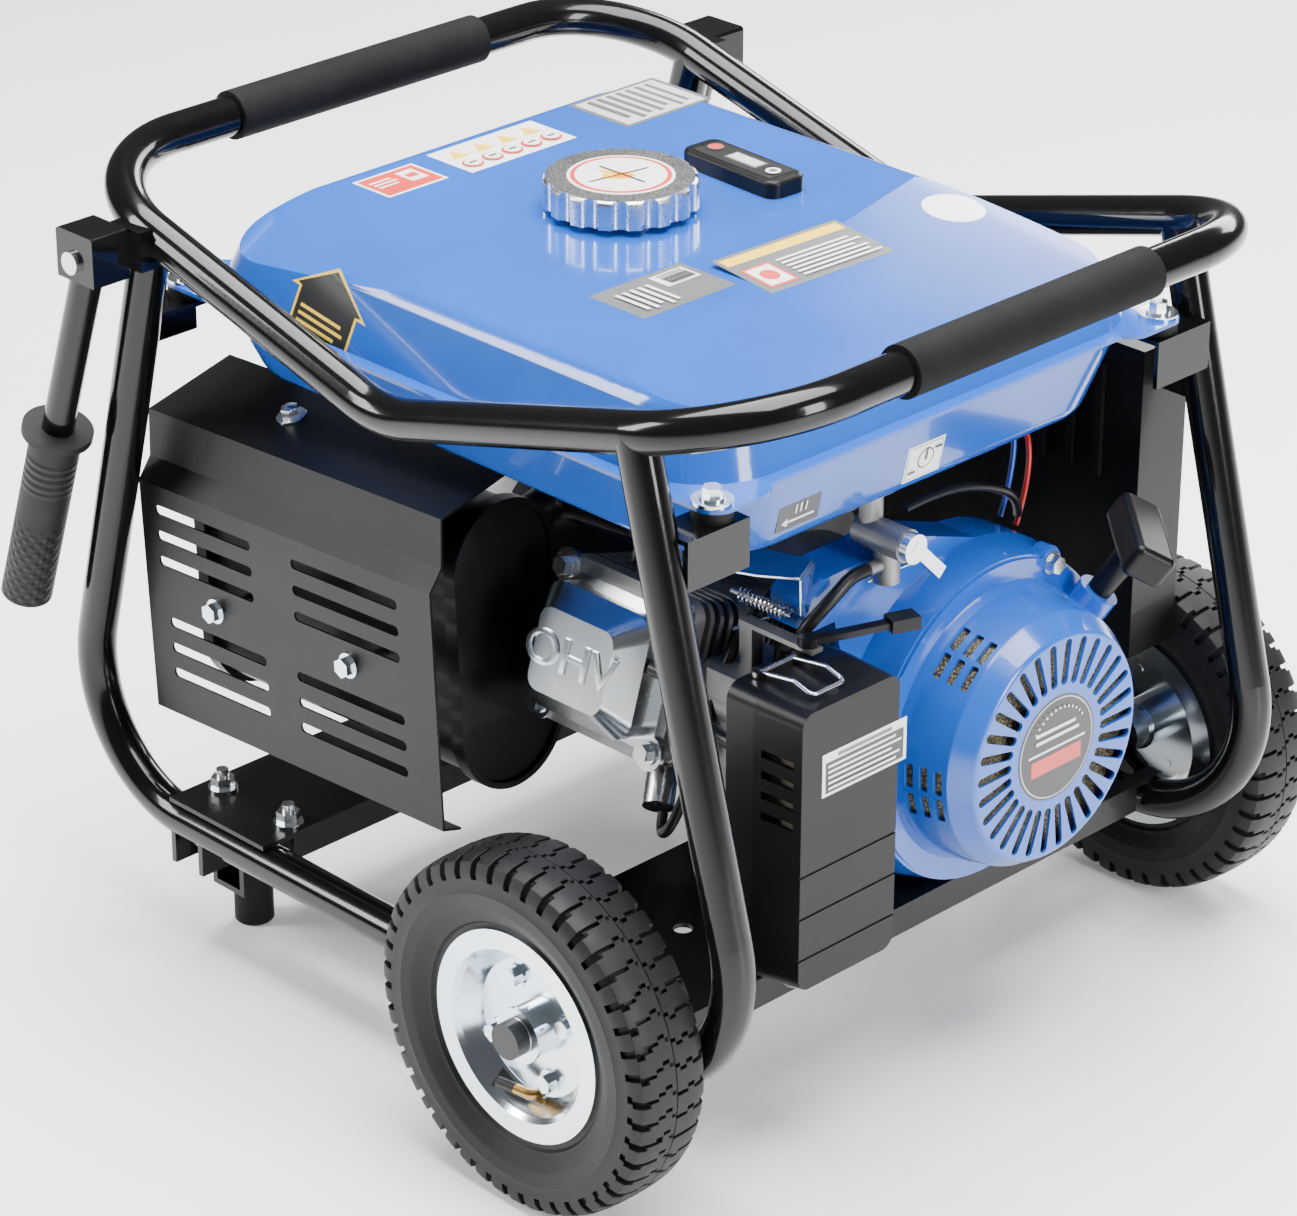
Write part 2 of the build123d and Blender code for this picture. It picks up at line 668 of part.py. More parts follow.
def starter_cover():
    x0 = blower_x[1]
    x1 = starter_face_x
    t = 2.0
    base = starter_r - 12
    outline = [(starter_r + 2, 0), (starter_r + 2, t), (base + 2, t), (base, 8), (starter_face_r + 3, x1 - x0 - 14),
               (starter_face_r - 6, x1 - x0), (0, x1 - x0), (0, x1 - x0 - t), (starter_face_r - 7, x1 - x0 - t),
               (starter_face_r + 1, x1 - x0 - 15), (base - t, 7), (base - t, 0)]
    face = make_face(Polyline(*[(r, 0, z) for r, z in outline], close=True))
    shoulders = [v for v in face.vertices() if starter_face_r - 8 < v.X < starter_face_r + 4 and v.Z > 20]
    face = fillet(shoulders, 4)
    body = revolve(face, Axis.Z)
    depth = x1 - x0
    for k in range(30):
        slot = Rot(Z=12 * k) * Pos(54, 0, depth - 3) * Rot(X=8) * extrude(SlotOverall(29, 5.6), 6)
        body -= slot
    for angle in (8, 128, 188, 248, 308):
        for col in (-1, 1):
            for row in range(3):
                window = extrude(RectangleRounded(5.5, 16, 1.5), 22)
                body -= Rot(Z=angle + 6.5 * col) * Pos(base - 16, 0, 12 + 9.5 * row) * Rot(Y=90) * window
    body = Plane(origin=(x0, crank_y, crank_z), x_dir=(0, 1, 0), z_dir=(1, 0, 0)) * body
    for a in starter_ears:
        body += rod(ear_point(a, x0), (1, 0, 0), 9, 2)
        body -= rod(ear_point(a, x0 - 1), (1, 0, 0), 3, 12)
    d = Vector(*rope_dir)
    guide = rod(Vector(*rope_exit) - d * 24, d, 13, 22)
    guide -= rod(Vector(*rope_exit) - d * 25, d, 3, 30)
    inside = shaft_hole(x0 + 1, x1 - t, starter_face_r - 4)
    return body + (guide - inside)


def starter_grip():
    d = Vector(*rope_dir).normalized()
    at = Vector(*rope_exit) - d * (2 - gap)
    stem = Solid.make_cone(7.5, 8.6, 34, Plane(origin=at, z_dir=d))
    bar = Plane(origin=at + d * 42, x_dir=(0.467, 0.711, -0.504), z_dir=d) * Box(28, 62, 22)
    bar = fillet(bar.edges(), 5)
    return Part() + stem + bar


def flywheel():
    """Flywheel with cast fan blades and the starter cup bolted to its front."""
    x0 = blower_x[0] + 6
    wheel = shaft_hole(x0, x0 + 24, 74)
    for k in range(18):
        blade = Rot(X=20 * k) * Pos(0, (fan_r + 46) / 2, 0) * Rot(X=18) * Box(20, fan_r - 46, 3.2)
        wheel += Pos(x0 + 32, crank_y, crank_z) * blade
    wheel += shaft_hole(x0 + 24, x0 + 58, 38) - shaft_hole(x0 + 28, x0 + 58, 34)
    wheel -= shaft_hole(x0 - 1, x0 + 30, shaft_r - 1)
    return wheel


def starter_pulley():
    x0 = starter_face_x - 2.0
    wheel = shaft_hole(x0 - 22, x0 - 10, 46) - shaft_hole(x0 - 22, x0 - 10, 9 + fit)
    groove = ring((x0 - 18.5, crank_y, crank_z), (1, 0, 0), 47, 40, 5)
    return wheel - groove


def pulley_post():
    """Centre post of the starter cover, on which the rope pulley turns."""
    x0 = starter_face_x - 2.0
    return shaft_hole(x0 - 24, x0, 9) + shaft_hole(x0 - 26, x0 - 22 - gap, 14)


def crankshaft():
    """Crank with its throw and webs, and the long shaft that carries the rotor."""
    shaft = shaft_hole(alt_x[1] - 6, cyl_x - 8, shaft_r) + shaft_hole(cyl_x + 8, blower_x[0] + 6, shaft_r)
    shaft += shaft_hole(blower_x[0] + 6, blower_x[0] + 40, shaft_r - 1)
    for x in (cyl_x - 15, cyl_x + 8):
        shaft += block((x, x + 7), (crank_y - 20, crank_y + 20), (crank_z - 42, crank_z + 38))
    shaft += rod((cyl_x - 8, crank_y, crank_z + 24), (1, 0, 0), 12, 16)
    return shaft


def carburettor():
    """Body, float bowl and the insulator block against the head."""
    x0 = cyl_x + 54
    y, z = along_bore(intake_l)[1:]
    body = rod((x0, y, z), (1, 0, 0), 21, cleaner_x[0] - x0)
    body += block((x0 + 12, x0 + 46), (y - 20, y + 26), (z - 16, z + 24))
    body += rod((x0 + 29, y, z - 52), (0, 0, 1), 19, 40)
    body -= rod((x0 - 1, y, z), (1, 0, 0), 11, cleaner_x[0] - x0 + 2)
    px, py, pz = choke_at
    body += block((x0 + 20, x0 + 30), (py - 4, py + 5), (z + 20, pz - 3))
    body += block((x0 + 20, px + 7), (py - 4, py + 5), (pz - 3, pz))
    body -= rod((px, py, pz - 4), (0, 0, 1), 2.5 + fit, 8)
    return body - cylinder_head()


def choke_lever():
    px, py, pz = choke_at
    hub = rod((px, py, pz + gap), (0, 0, 1), 6, 5) + rod((px, py, pz - 2.8), (0, 0, 1), 2.5, 6)
    turn = Pos(px, py, pz + gap + 2.5) * Rot(Z=choke_turn)
    arm = turn * Pos(29, 0, 0) * Box(58, 7, 4)
    tip = turn * Pos(60, 0, 0) * Box(18, 12, 8)
    return hub + arm + tip


def air_cleaner_case():
    x0, x1 = cleaner_x[:2]
    y0, y1 = cleaner_y
    z0, z1 = cleaner_z
    body = block((x0, x1), (y0, y1), (z0, z1))
    body = fillet(body.edges().filter_by(Axis.X), 10)
    hollow = block((x0 + 3, x1 + 1), (y0 + 3, y1 - 3), (z0 + 3, z1 - 3))
    y, z = along_bore(intake_l)[1:]
    body -= rod((x0 - 1, y, z), (1, 0, 0), 11, 6)
    for s in (-1, 1):
        top = cleaner_z[1] if s > 0 else cleaner_z[0]
        for dy in (-18, 15):
            body += block((clip_x - 3, clip_x + 3), (clip_y + dy, clip_y + dy + 3), sorted((top - s, top + 4.6 * s)))
        body -= rod((clip_x, clip_y - 19, clip_z(s)), (0, 1, 0), clip_pin_r + fit, 38)
    return body - hollow


def air_cleaner_cover():
    x1, x2 = cleaner_x[1:]
    y0, y1 = cleaner_y
    z0, z1 = cleaner_z
    outer = loft([yz(Pos((y0 + y1) / 2, (z0 + z1) / 2) * RectangleRounded(y1 - y0, z1 - z0, 10), x1),
                  yz(Pos((y0 + y1) / 2, (z0 + z1) / 2 + 2) * RectangleRounded(y1 - y0 - 4, z1 - z0 - 6, 9), x2)])
    hollow = block((x1 - 1, x2 - 3), (y0 + 4, y1 - 4), (z0 + 7, z1 - 6))
    body = outer - hollow
    for k in range(4):
        body -= Pos(x1 + 18, y0, z1 - 34 - 13 * k) * Box(24, 14, 5)
    for k in range(3):
        body -= Pos(x2, (y0 + y1) / 2, z0 + 26 + 27 * k) * Box(1.6, 100, 1.6)
    return body


def air_filter():
    x0, x2 = cleaner_x[0], cleaner_x[2]
    y0, y1 = cleaner_y
    return block((x0 + 3, x2 - 8), (y0 + 9, y1 - 9), (cleaner_z[0] + 24, cleaner_z[1] - 22))


def clip_z(s):
    return cleaner_z[1] + 2.4 if s > 0 else cleaner_z[0] - 2.4


def cleaner_clip(top):
    """Bent wire clip that holds the air cleaner cover to its case."""
    s = 1 if top else -1
    z = clip_z(s)
    y, x = clip_y, clip_x
    points = [(x, y - 13, z), (x + 26, y - 13, z + 4 * s), (x + 40, y - 13, z),
              (x + 40, y + 13, z), (x + 26, y + 13, z + 4 * s), (x, y + 13, z)]
    return pipe(points, [5, 4, 4, 5], 1.3) + rod((x, y - 18, z), (0, 1, 0), clip_pin_r, 36)


# ---- exhaust ------------------------------------------------------------------------
def tilted(shape):
    """Droop of the silencer group about its engine end."""
    pivot = (muffler_x[1], 0, 250)
    return Pos(*pivot) * Rot(Y=-muffler_tilt) * Pos(-pivot[0], -pivot[1], -pivot[2]) * shape


def muffler():
    x0, x1 = muffler_x
    z0, z1 = muffler_z
    stadium = Pos(muffler_y, (z0 + z1) / 2) * Rot(Z=90) * SlotOverall(z1 - z0, 2 * muffler_half_w)
    small = Pos(muffler_y, (z0 + z1) / 2) * Rot(Z=90) * SlotOverall(z1 - z0 - 8, 2 * muffler_half_w - 8)
    body = extrude(yz(small, x0 + 4), x1 - x0 - 8)
    for x in (x0, x1 - 10):
        body += extrude(yz(stadium, x), 10)
    body = body - extrude(yz(small, x1 - 4), 5) + extrude(yz(offset(small, -1), x1 - 6), 3)
    tail = rod((x0 + 40, muffler_y + 37, z1 - 60), (-0.3, 0.95, 0), 12, 30)
    tail -= rod((x0 + 40, muffler_y + 37, z1 - 60), (-0.3, 0.95, 0), 10, 31)
    return tilted(body + tail)


def exhaust_pipe():
    start = along_bore(port_l, -20, 45)
    elbow = along_bore(port_l, -20, 74)
    side = muffler_y + muffler_half_w
    turn = (muffler_x[1] - 24, elbow[1] - 8, elbow[2] - 2)
    body = pipe([start, elbow, turn, (turn[0], side - 3, elbow[2] - 8)], [15, 15], 12, bore=10)
    return body - muffler() - cylinder_head()


def heat_shield():
    x0, x1 = shield_x
    y = shield_y
    profile = [(y + 78, 159), (y + 12, 143), (y + 10, 113), (y, 100), (y, -53), (y + 14, -57)]
    face = sheet([(p[0], crank_z + p[1]) for p in profile], sheet_t)
    body = extrude(yz(face, x0), x1 - x0)
    for x_mid, length, rows in ((-185, 90, (84, 67, 50)), (-55, 95, (84, 67, 50)),
                                (-178, 92, (10, -7, -24)), (-55, 97, (10, -7, -24))):
        for z in rows:
            slot = extrude(SlotOverall(length, 6.5), 16)
            body -= Pos(x_mid, y, crank_z + z) * Rot(X=90) * Pos(0, 0, -8) * slot
    for x, z in shield_bolt_places:
        body -= rod((x, y - 3, z), (0, 1, 0), 3.5, 8)
    return tilted(body)


# ---- alternator ---------------------------------------------------------------------
def alternator_bell():
    x3, x4 = alt_x[3:]
    body = shaft_hole(x3, x4, bell_r) - shaft_hole(x3 + 6, x4 - 6, bell_r - 6)
    body += shaft_hole(x4, block_x[0], 60) - shaft_hole(x4 - 1, block_x[0], 52)
    for k in range(12):
        cut = Rot(X=30 * k) * Pos(0, 0, bell_r) * Box(16, 26, 20)
        body -= Pos((x3 + x4) / 2, crank_y, crank_z) * cut
    body -= shaft_hole(x3 - 1, x4 + 30, shaft_r + 3)
    return body - shaft_hole(x3 - 1, x3 + 7, stator_bore + 14)


def stator():
    x2, x3 = alt_x[2:4]
    body = shaft_hole(x2, x3, stator_r) - shaft_hole(x2 - 1, x3 + 1, stator_bore)
    for k in range(4):
        body += Pos((x2 + x3) / 2, crank_y, crank_z) * Rot(X=45 + 90 * k) * Pos(0, 0, stator_r) * Box(x3 - x2, 16, 8)
    return body


def rotor():
    x2, x3 = alt_x[2:4]
    core = shaft_hole(x2 + 12, x3 - 12, stator_bore - 1.5)
    fan = shaft_hole(x3 + 7, x3 + 9, 68)
    for k in range(12):
        fan += Pos(x3 + 12, crank_y, crank_z) * Rot(X=30 * k) * Pos(0, 0, 50) * Box(7, 2.5, 34)
    rings = shaft_hole(alt_x[1] + 10, x2 + 12, 20)
    return core + fan + rings + shaft_hole(x3 - 12, x3 + 7, 20) - shaft_hole(alt_x[1] - 7, x3 + 40, shaft_r)


def alternator_bracket():
    """Cast rear bearing bracket with its two feet."""
    x1, x2 = alt_x[1:3]
    body = shaft_hole(x1, x2, stator_r) - shaft_hole(x1 + 7, x2 + 1, stator_r - 6)
    body += block((x1, x2 - 6), (crank_y - 72, crank_y + 72), (base_z, base_z + 34))
    body -= shaft_hole(x1 + 7, x2 + 1, stator_r - 6)
    body -= block((x1 - 1, x2), (crank_y - 40, crank_y + 40), (base_z - 1, base_z + 14))
    return body - shaft_hole(x1 - 1, x1 + 8, shaft_r + fit)


def alternator_cover():
    x0, x1 = alt_x[:2]
    body = shaft_hole(x0, x1, stator_r - 4)
    body = fillet(body.faces().sort_by(Axis.X)[0].edges(), 10)
    body -= shaft_hole(x0 + 3, x1 + 1, stator_r - 7)
    for k in range(-5, 6):
        span = math.sqrt(56 ** 2 - (9 * k) ** 2)
        body -= Pos(x0, crank_y, crank_z + 9 * k) * Box(12, 2 * span, 4.2)
    return body


# ---- mounts, controls, lines --------------------------------------------------------
def mount_places():
    rear = [(block_x[0] + 56, crank_y + s * 74) for s in (-1, 1)]
    front = [(alt_x[1] + 17, crank_y + s * 56) for s in (-1, 1)]
    return rear + front


def rubber_mounts():
    pieces = []
    z0 = rail_top() + plate_t
    for x, y in mount_places():
        pieces.append(rod((x, y, z0), (0, 0, 1), 15, base_z - z0))
    for end in (-1, 1):
        for side in (near, far):
            at = (end * tank_bolt[0], side * tank_bolt[1], tank_flange_z - mount_h)
            pieces.append(ring(at, (0, 0, 1), 12, pin_r, mount_h))
    return pieces


def frame_bolts():
    pieces = []
    top = rail_top() + plate_t
    for side in (near, far):
        foot = rod((foot_x, side * foot_y, 12), (0, 0, 1), pin_r, 34) + hex_nut((foot_x, side * foot_y, foot_h + 4), (0, 0, 1), 13, 7)
        pieces.append(foot)
        for x in bolt_x():
            stud = rod((x, side * plate_bolt_y, top - 10), (0, 0, 1), 4, 24)
            pieces.append(stud + hex_nut((x, side * plate_bolt_y, top), (0, 0, 1), 13, 9))
    for x, y in mount_places()[:2]:
        pieces.append(hex_nut((x, y, base_z + 12), (0, 0, 1), 13, 8))
    return pieces + tank_bolts()


def control_box(side_tube):
    x, y, z = (-box_x, box_x), box_y, box_z
    body = block(x, y, z) - block((x[0] + sheet_t, x[1] - sheet_t), (y[0] + sheet_t, y[1] + 1), (z[0] + sheet_t, z[1] - sheet_t))
    for k in range(6):
        body += block((60 + 22 * k, 66 + 22 * k), (y[0] - 3, y[0]), (z[1] - 90, z[1] - 16))
    for end in (-1, 1):
        tab = block(sorted((end * box_x, end * (box_x + 24))), (frame_half_w - 8, frame_half_w - 4), (z[1] - 30, z[1] - 8))
        body += tab
    return body - side_tube


def control_face():
    plate = block((-box_x, box_x), (box_y[1], box_y[1] + 2), box_z)
    for x in socket_x:
        plate -= rod((x, box_y[1] - 1, socket_z), (0, 1, 0), 23, 4)
    plate -= rod((breaker_x, box_y[1] - 1, socket_z), (0, 1, 0), 8, 4)
    plate -= block((switch_x - 14, switch_x + 14), (box_y[1] - 1, box_y[1] + 3), (socket_z - 11, socket_z + 11))
    return plate


socket_x = (20.0, 90.0)
socket_z = 265.0
breaker_x = -40.0
switch_x = -120.0


def sockets():
    """Two recessed outlets, the breaker collar, the meter, DC posts and the switch frame."""
    y = box_y[1]
    pieces = []
    for x in socket_x:
        cup = ring((x, y - 22, socket_z), (0, 1, 0), 23, 19.5, 26) + rod((x, y - 22, socket_z), (0, 1, 0), 23, 4)
        cup += ring((x, y + 2, socket_z), (0, 1, 0), 28, 19.5, 4)
        for dx in (-9.5, 9.5):
            cup -= rod((x + dx, y - 23, socket_z), (0, 1, 0), 2.4, 8)
        pieces.append(cup)
    pieces.append(ring((breaker_x, y - 14, socket_z), (0, 1, 0), 8, 5.3, 19) + rod((breaker_x, y - 30, socket_z), (0, 1, 0), 12, 16))
    pieces.append(block((-70, -10), (y + 2, y + 10), (320, 365)))
    for x in (-170, -148):
        pieces.append(rod((x, y + 2, 340), (0, 1, 0), 7, 14))
    frame = block((switch_x - 14, switch_x + 14), (y - 12, y + 4), (socket_z - 11, socket_z + 11))
    frame -= block((switch_x - 11, switch_x + 11), (y - 9, y + 5), (socket_z - 8, socket_z + 8))
    pieces.append(frame)
    return pieces


def breaker_button():
    return rod((breaker_x, box_y[1] - 13.5, socket_z), (0, 1, 0), 5.0, 22)


def engine_switch():
    y = box_y[1] + 2
    rocker = rod((switch_x, y, socket_z - 7.7), (0, 0, 1), 6, 15.4)
    rocker += block((switch_x - 9.8, switch_x + 9.8), (y, y + 4), (socket_z - 7.7, socket_z + 7.7))
    return rocker


def socket_flap(x):
    y = box_y[1] + 6 + gap
    flap = rod((x, y, socket_z), (0, 1, 0), 25, 3)
    return flap + rod((x - 12, y + 2.6, socket_z + 26), (1, 0, 0), 2.6, 24)


def fuel_hose():
    x, y = petcock_at
    x -= 14
    z = tank_bottom_z - 38
    carburettor_top = along_bore(intake_l)[2] + 24
    return cord([(x, y - 16, z), (x, y - 30, z), (x - 1, y - 46, z - 10), (x - 7, y - 60, z - 25),
                 (x - 15, y - 60, z - 39), (x - 27, y - 58, z - 43), (x - 27, y - 58, carburettor_top)], 4)


def breather_hose():
    top = head_l[1]
    p = bore_plane(top + 14)
    a = p.from_local_coords(Vector(43, 10, 0))
    return cord([(a.X + 2, a.Y, a.Z), (a.X + 15, a.Y, a.Z), (a.X + 26, a.Y + 1, a.Z - 9), (a.X + 36, a.Y + 3, a.Z - 22),
                 (a.X + 52, a.Y + 5, a.Z - 28), (cleaner_x[0], a.Y + 5, a.Z - 28)], 4.5)


# ---- assembly -----------------------------------------------------------------------
def build():
    nodes = {}
    top_ring = top_ring_solid()
    side_frames = [side_frame(side, top_ring) for side in (near, far)]
    nodes["top_ring"] = top_ring
    nodes["side_frame_near"], nodes["side_frame_far"] = side_frames
    nodes["foam_grips"] = foam_grips()
    nodes["cross_plates"] = cross_plates(side_frames)
    nodes["frame_brackets"] = frame_brackets(side_frames, top_ring)
    nodes["rubber_feet"] = rubber_feet()
    nodes["pivot_pins"] = pivot_pins()
    for side, name in ((near, "near"), (far, "far")):
        nodes["tyre_" + name] = tyre(side)
        nodes["rim_" + name] = rim(side)
        nodes["handle_tube_" + name] = handle_tube(side)
        nodes["handle_grip_" + name] = handle_grip(side)
    nodes["tank_upper_shell"] = tank_upper_shell()
    nodes["tank_lower_shell"] = tank_lower_shell()
    nodes["tank_cap"] = tank_cap()
    nodes["fuel_gauge"] = fuel_gauge()
    nodes["petcock_body"] = petcock_body()
    nodes["petcock_lever"] = petcock_lever()
    nodes["engine_block"] = engine_block()
    nodes["oil_cap"] = oil_cap()
    nodes["cylinder_head"] = cylinder_head()
    nodes["spark_plug"] = spark_plug()
    nodes["valve_cover"] = valve_cover()
    nodes["engine_bolts"] = engine_bolts()
    nodes["crankshaft"] = crankshaft()
    nodes["flywheel"] = flywheel()
    nodes["alternator_rotor"] = rotor()
    nodes["blower_housing"] = blower_housing()
    nodes["starter_cover"] = starter_cover() + pulley_post()
    nodes["starter_pulley"] = starter_pulley()
    nodes["starter_grip"] = starter_grip()
    nodes["carburettor"] = carburettor()
    nodes["choke_lever"] = choke_lever()
    nodes["air_cleaner_case"] = air_cleaner_case()
    nodes["air_cleaner_cover"] = air_cleaner_cover()
    nodes["air_filter"] = air_filter()
    nodes["clip_top"] = cleaner_clip(True)
    nodes["clip_bottom"] = cleaner_clip(False)
    nodes["muffler"] = muffler()
    nodes["exhaust_pipe"] = exhaust_pipe()
    nodes["heat_shield"] = heat_shield()
    nodes["alternator_bell"] = alternator_bell() - nodes["engine_block"]
    nodes["stator"] = stator()
    nodes["alternator_bracket"] = alternator_bracket()
    nodes["alternator_cover"] = alternator_cover()
    nodes["rubber_mounts"] = rubber_mounts()
    nodes["frame_bolts"] = frame_bolts()
    nodes["control_box"] = control_box(side_frames[1])
    nodes["control_face"] = control_face()
    nodes["sockets"] = sockets()
    nodes["breaker_button"] = breaker_button()
    nodes["engine_switch"] = engine_switch()
    nodes["socket_flap_left"] = socket_flap(socket_x[0])
    nodes["socket_flap_right"] = socket_flap(socket_x[1])
    nodes["fuel_hose"] = fuel_hose()
    nodes["breather_hose"] = breather_hose()
    return nodes


os.makedirs("parts", exist_ok=True)
for name, shape in build().items():
    if isinstance(shape, list):
        solids = []
        for piece in shape:
            solids += list(piece.solids())
        shape = Compound(children=solids)
    export_step(shape, "parts/" + name + ".step")
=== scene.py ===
import bpy
import bmesh
import json
import math
from mathutils import Matrix, Vector


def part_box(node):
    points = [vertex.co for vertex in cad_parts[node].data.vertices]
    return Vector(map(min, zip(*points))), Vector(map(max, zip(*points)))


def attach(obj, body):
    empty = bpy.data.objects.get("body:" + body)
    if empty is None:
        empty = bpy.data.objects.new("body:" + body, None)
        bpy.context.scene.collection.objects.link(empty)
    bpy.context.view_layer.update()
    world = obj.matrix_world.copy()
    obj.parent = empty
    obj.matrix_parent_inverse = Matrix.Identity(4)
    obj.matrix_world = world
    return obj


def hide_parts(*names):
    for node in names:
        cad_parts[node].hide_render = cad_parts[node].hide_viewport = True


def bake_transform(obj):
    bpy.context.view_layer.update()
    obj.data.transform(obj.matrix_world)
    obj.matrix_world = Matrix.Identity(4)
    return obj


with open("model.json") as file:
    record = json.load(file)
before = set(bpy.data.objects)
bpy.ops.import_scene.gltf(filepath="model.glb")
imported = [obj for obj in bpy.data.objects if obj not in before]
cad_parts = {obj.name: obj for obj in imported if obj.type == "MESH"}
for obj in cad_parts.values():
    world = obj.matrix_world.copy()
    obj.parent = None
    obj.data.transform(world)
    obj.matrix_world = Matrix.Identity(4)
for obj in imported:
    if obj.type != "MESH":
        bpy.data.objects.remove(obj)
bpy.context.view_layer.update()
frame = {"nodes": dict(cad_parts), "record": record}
cadNodes = frame["nodes"]
print("frame loaded:", len(cadNodes), "pieces")


# ---------- shader helpers

class Wire:  # an output socket that can be used in plain sums
    def __init__(self, finish, socket):
        self.finish = finish
        self.socket = socket

    def maths(self, operation, first, second=0.0):
        return self.finish.add("ShaderNodeMath", {"operation": operation}, {0: first, 1: second})

    def __add__(self, other):
        return self.maths("ADD", self, other)

    def __radd__(self, other):
        return self.maths("ADD", other, self)

    def __sub__(self, other):
        return self.maths("SUBTRACT", self, other)

    def __rsub__(self, other):
        return self.maths("SUBTRACT", other, self)

    def __mul__(self, other):
        return self.maths("MULTIPLY", self, other)

    def __rmul__(self, other):
        return self.maths("MULTIPLY", other, self)

    def __truediv__(self, other):
        return self.maths("DIVIDE", self, other)

    def __pow__(self, other):
        return self.maths("POWER", self, other)

    def over(self, limit):
        return self.maths("GREATER_THAN", self, limit)

    def top(self, other):
        return self.maths("MAXIMUM", self, other)


class Finish:  # one material and its nodes
    def __init__(self, name):
        self.material = bpy.data.materials.new(name)
        self.material.use_nodes = True
        self.tree = self.material.node_tree
        self.shader = self.tree.nodes["Principled BSDF"]
        self.place = None

    def feed(self, socket, value):
        if isinstance(value, Wire):
            self.tree.links.new(value.socket, socket)
        elif isinstance(value, (tuple, list)) and len(value) == 3 and len(socket.default_value) == 4:
            socket.default_value = (*value, 1)
        else:
            socket.default_value = value

    def add(self, kind, settings=None, inputs=None, output=0):
        node = self.tree.nodes.new(kind)
        for key, value in (settings or {}).items():
            if key == "stops":
                ramp = node.color_ramp.elements
                while len(ramp) < len(value):
                    ramp.new(0.5)
                for stop, (position, colour) in zip(ramp, value):
                    stop.position = position
                    stop.color = (*colour, 1)
            else:
                setattr(node, key, value)
        for key, value in (inputs or {}).items():
            self.feed(node.inputs[key], value)
        return Wire(self, node.outputs[output])

    def coords(self, scale=(1, 1, 1), turn=(0, 0, 0), centre=(0, 0, 0)):
        if self.place is None:
            self.place = self.add("ShaderNodeTexCoord", output=3)
        return self.add("ShaderNodeMapping", {"vector_type": "TEXTURE"},
                        {"Vector": self.place, "Location": centre, "Rotation": turn,
                         "Scale": tuple(1 / s for s in scale)})

    def noise(self, scale, detail=3.0, rough=0.5, where=None):
        return self.add("ShaderNodeTexNoise", {}, {"Vector": where or self.coords(), "Scale": scale,
                                                   "Detail": detail, "Roughness": rough})

    def cells(self, scale, feature="F1", where=None):
        return self.add("ShaderNodeTexVoronoi", {"feature": feature}, {"Vector": where or self.coords(), "Scale": scale})

    def ramp(self, factor, *stops):
        return self.add("ShaderNodeValToRGB", {"stops": stops}, {0: factor})

    def blend(self, factor, first, second, mode="MIX"):
        return self.add("ShaderNodeMix", {"data_type": "RGBA", "blend_type": mode}, {0: factor, 6: first, 7: second}, 2)

    def step(self, value, low, high, newLow=0.0, newHigh=1.0):
        return self.add("ShaderNodeMapRange", {"clamp": True}, {0: value, 1: low, 2: high, 3: newLow, 4: newHigh})

    def within(self, low, high):
        # 1 inside a box given by its two corners, on the piece's own coordinates
        split = self.tree.nodes.new("ShaderNodeSeparateXYZ")
        self.feed(split.inputs[0], self.coords())
        mask = None
        for axis in range(3):
            place = Wire(self, split.outputs[axis])
            between = place.over(low[axis]) * (1 - place.over(high[axis]))
            mask = between if mask is None else mask * between
        return mask

    def bump(self, height, strength, distance=0.0004, under=None):
        inputs = {"Height": height, "Strength": strength, "Distance": distance}
        if under:
            inputs["Normal"] = under
        return self.add("ShaderNodeBump", {}, inputs)

    def shade(self, **values):
        for key, value in values.items():
            self.feed(self.shader.inputs[key.replace("_", " ")], value)
        return self


def surface(name, colour, rough, metal=0.0, coat=0.0, spread=0.12, patch=14, grain=900, lift=0.1, depth=0.0003,
            roughSpread=0.06, dust=0.0, gloss=0.5):
    # the everyday finish: soft patches of tone, fine grain in the relief, a little settled dust
    f = Finish(name)
    patches = f.noise(patch, 5, 0.6)
    fine = f.noise(grain, 4, 0.6)
    darker = tuple(c * (1 - spread) for c in colour)
    lighter = tuple(min(1, c * (1 + spread) + 0.002) for c in colour)
    tone = f.blend(f.step(patches, 0.3, 0.7), darker, lighter)
    if dust:
        tone = f.blend(f.step(f.noise(60, 8, 0.7), 0.55, 0.8, 0.0, dust), tone, (0.32, 0.31, 0.29))
    f.shade(Base_Color=tone, Roughness=f.step(patches * 0.6 + fine * 0.4, 0.3, 0.7, rough - roughSpread, rough + roughSpread),
            Metallic=metal, Coat_Weight=coat, Coat_Roughness=0.05, Specular_IOR_Level=gloss, Normal=f.bump(fine, lift, depth))
    return f


print("shader helpers ready")

# ---------- finishes

blue = (0.011, 0.086, 0.42)
black = (0.0045, 0.0045, 0.005)


def enamel(name, colour, rough=0.2, peel=0.05, gloss=0.35, coat=0.45):
    f = Finish(name)
    slow = f.noise(9, 3)
    skin = f.noise(260, 2, 0.4)
    fleck = f.noise(2200, 2)
    tone = f.blend(f.step(slow, 0.3, 0.7), tuple(c * 0.93 for c in colour), tuple(c * 1.05 for c in colour))
    f.shade(Base_Color=tone, Roughness=f.step(slow * 0.5 + fleck * 0.5, 0.35, 0.65, rough - 0.04, rough + 0.05),
            Coat_Weight=coat, Coat_Roughness=0.03, Specular_IOR_Level=gloss, Normal=f.bump(skin, peel, 0.0005))
    return f


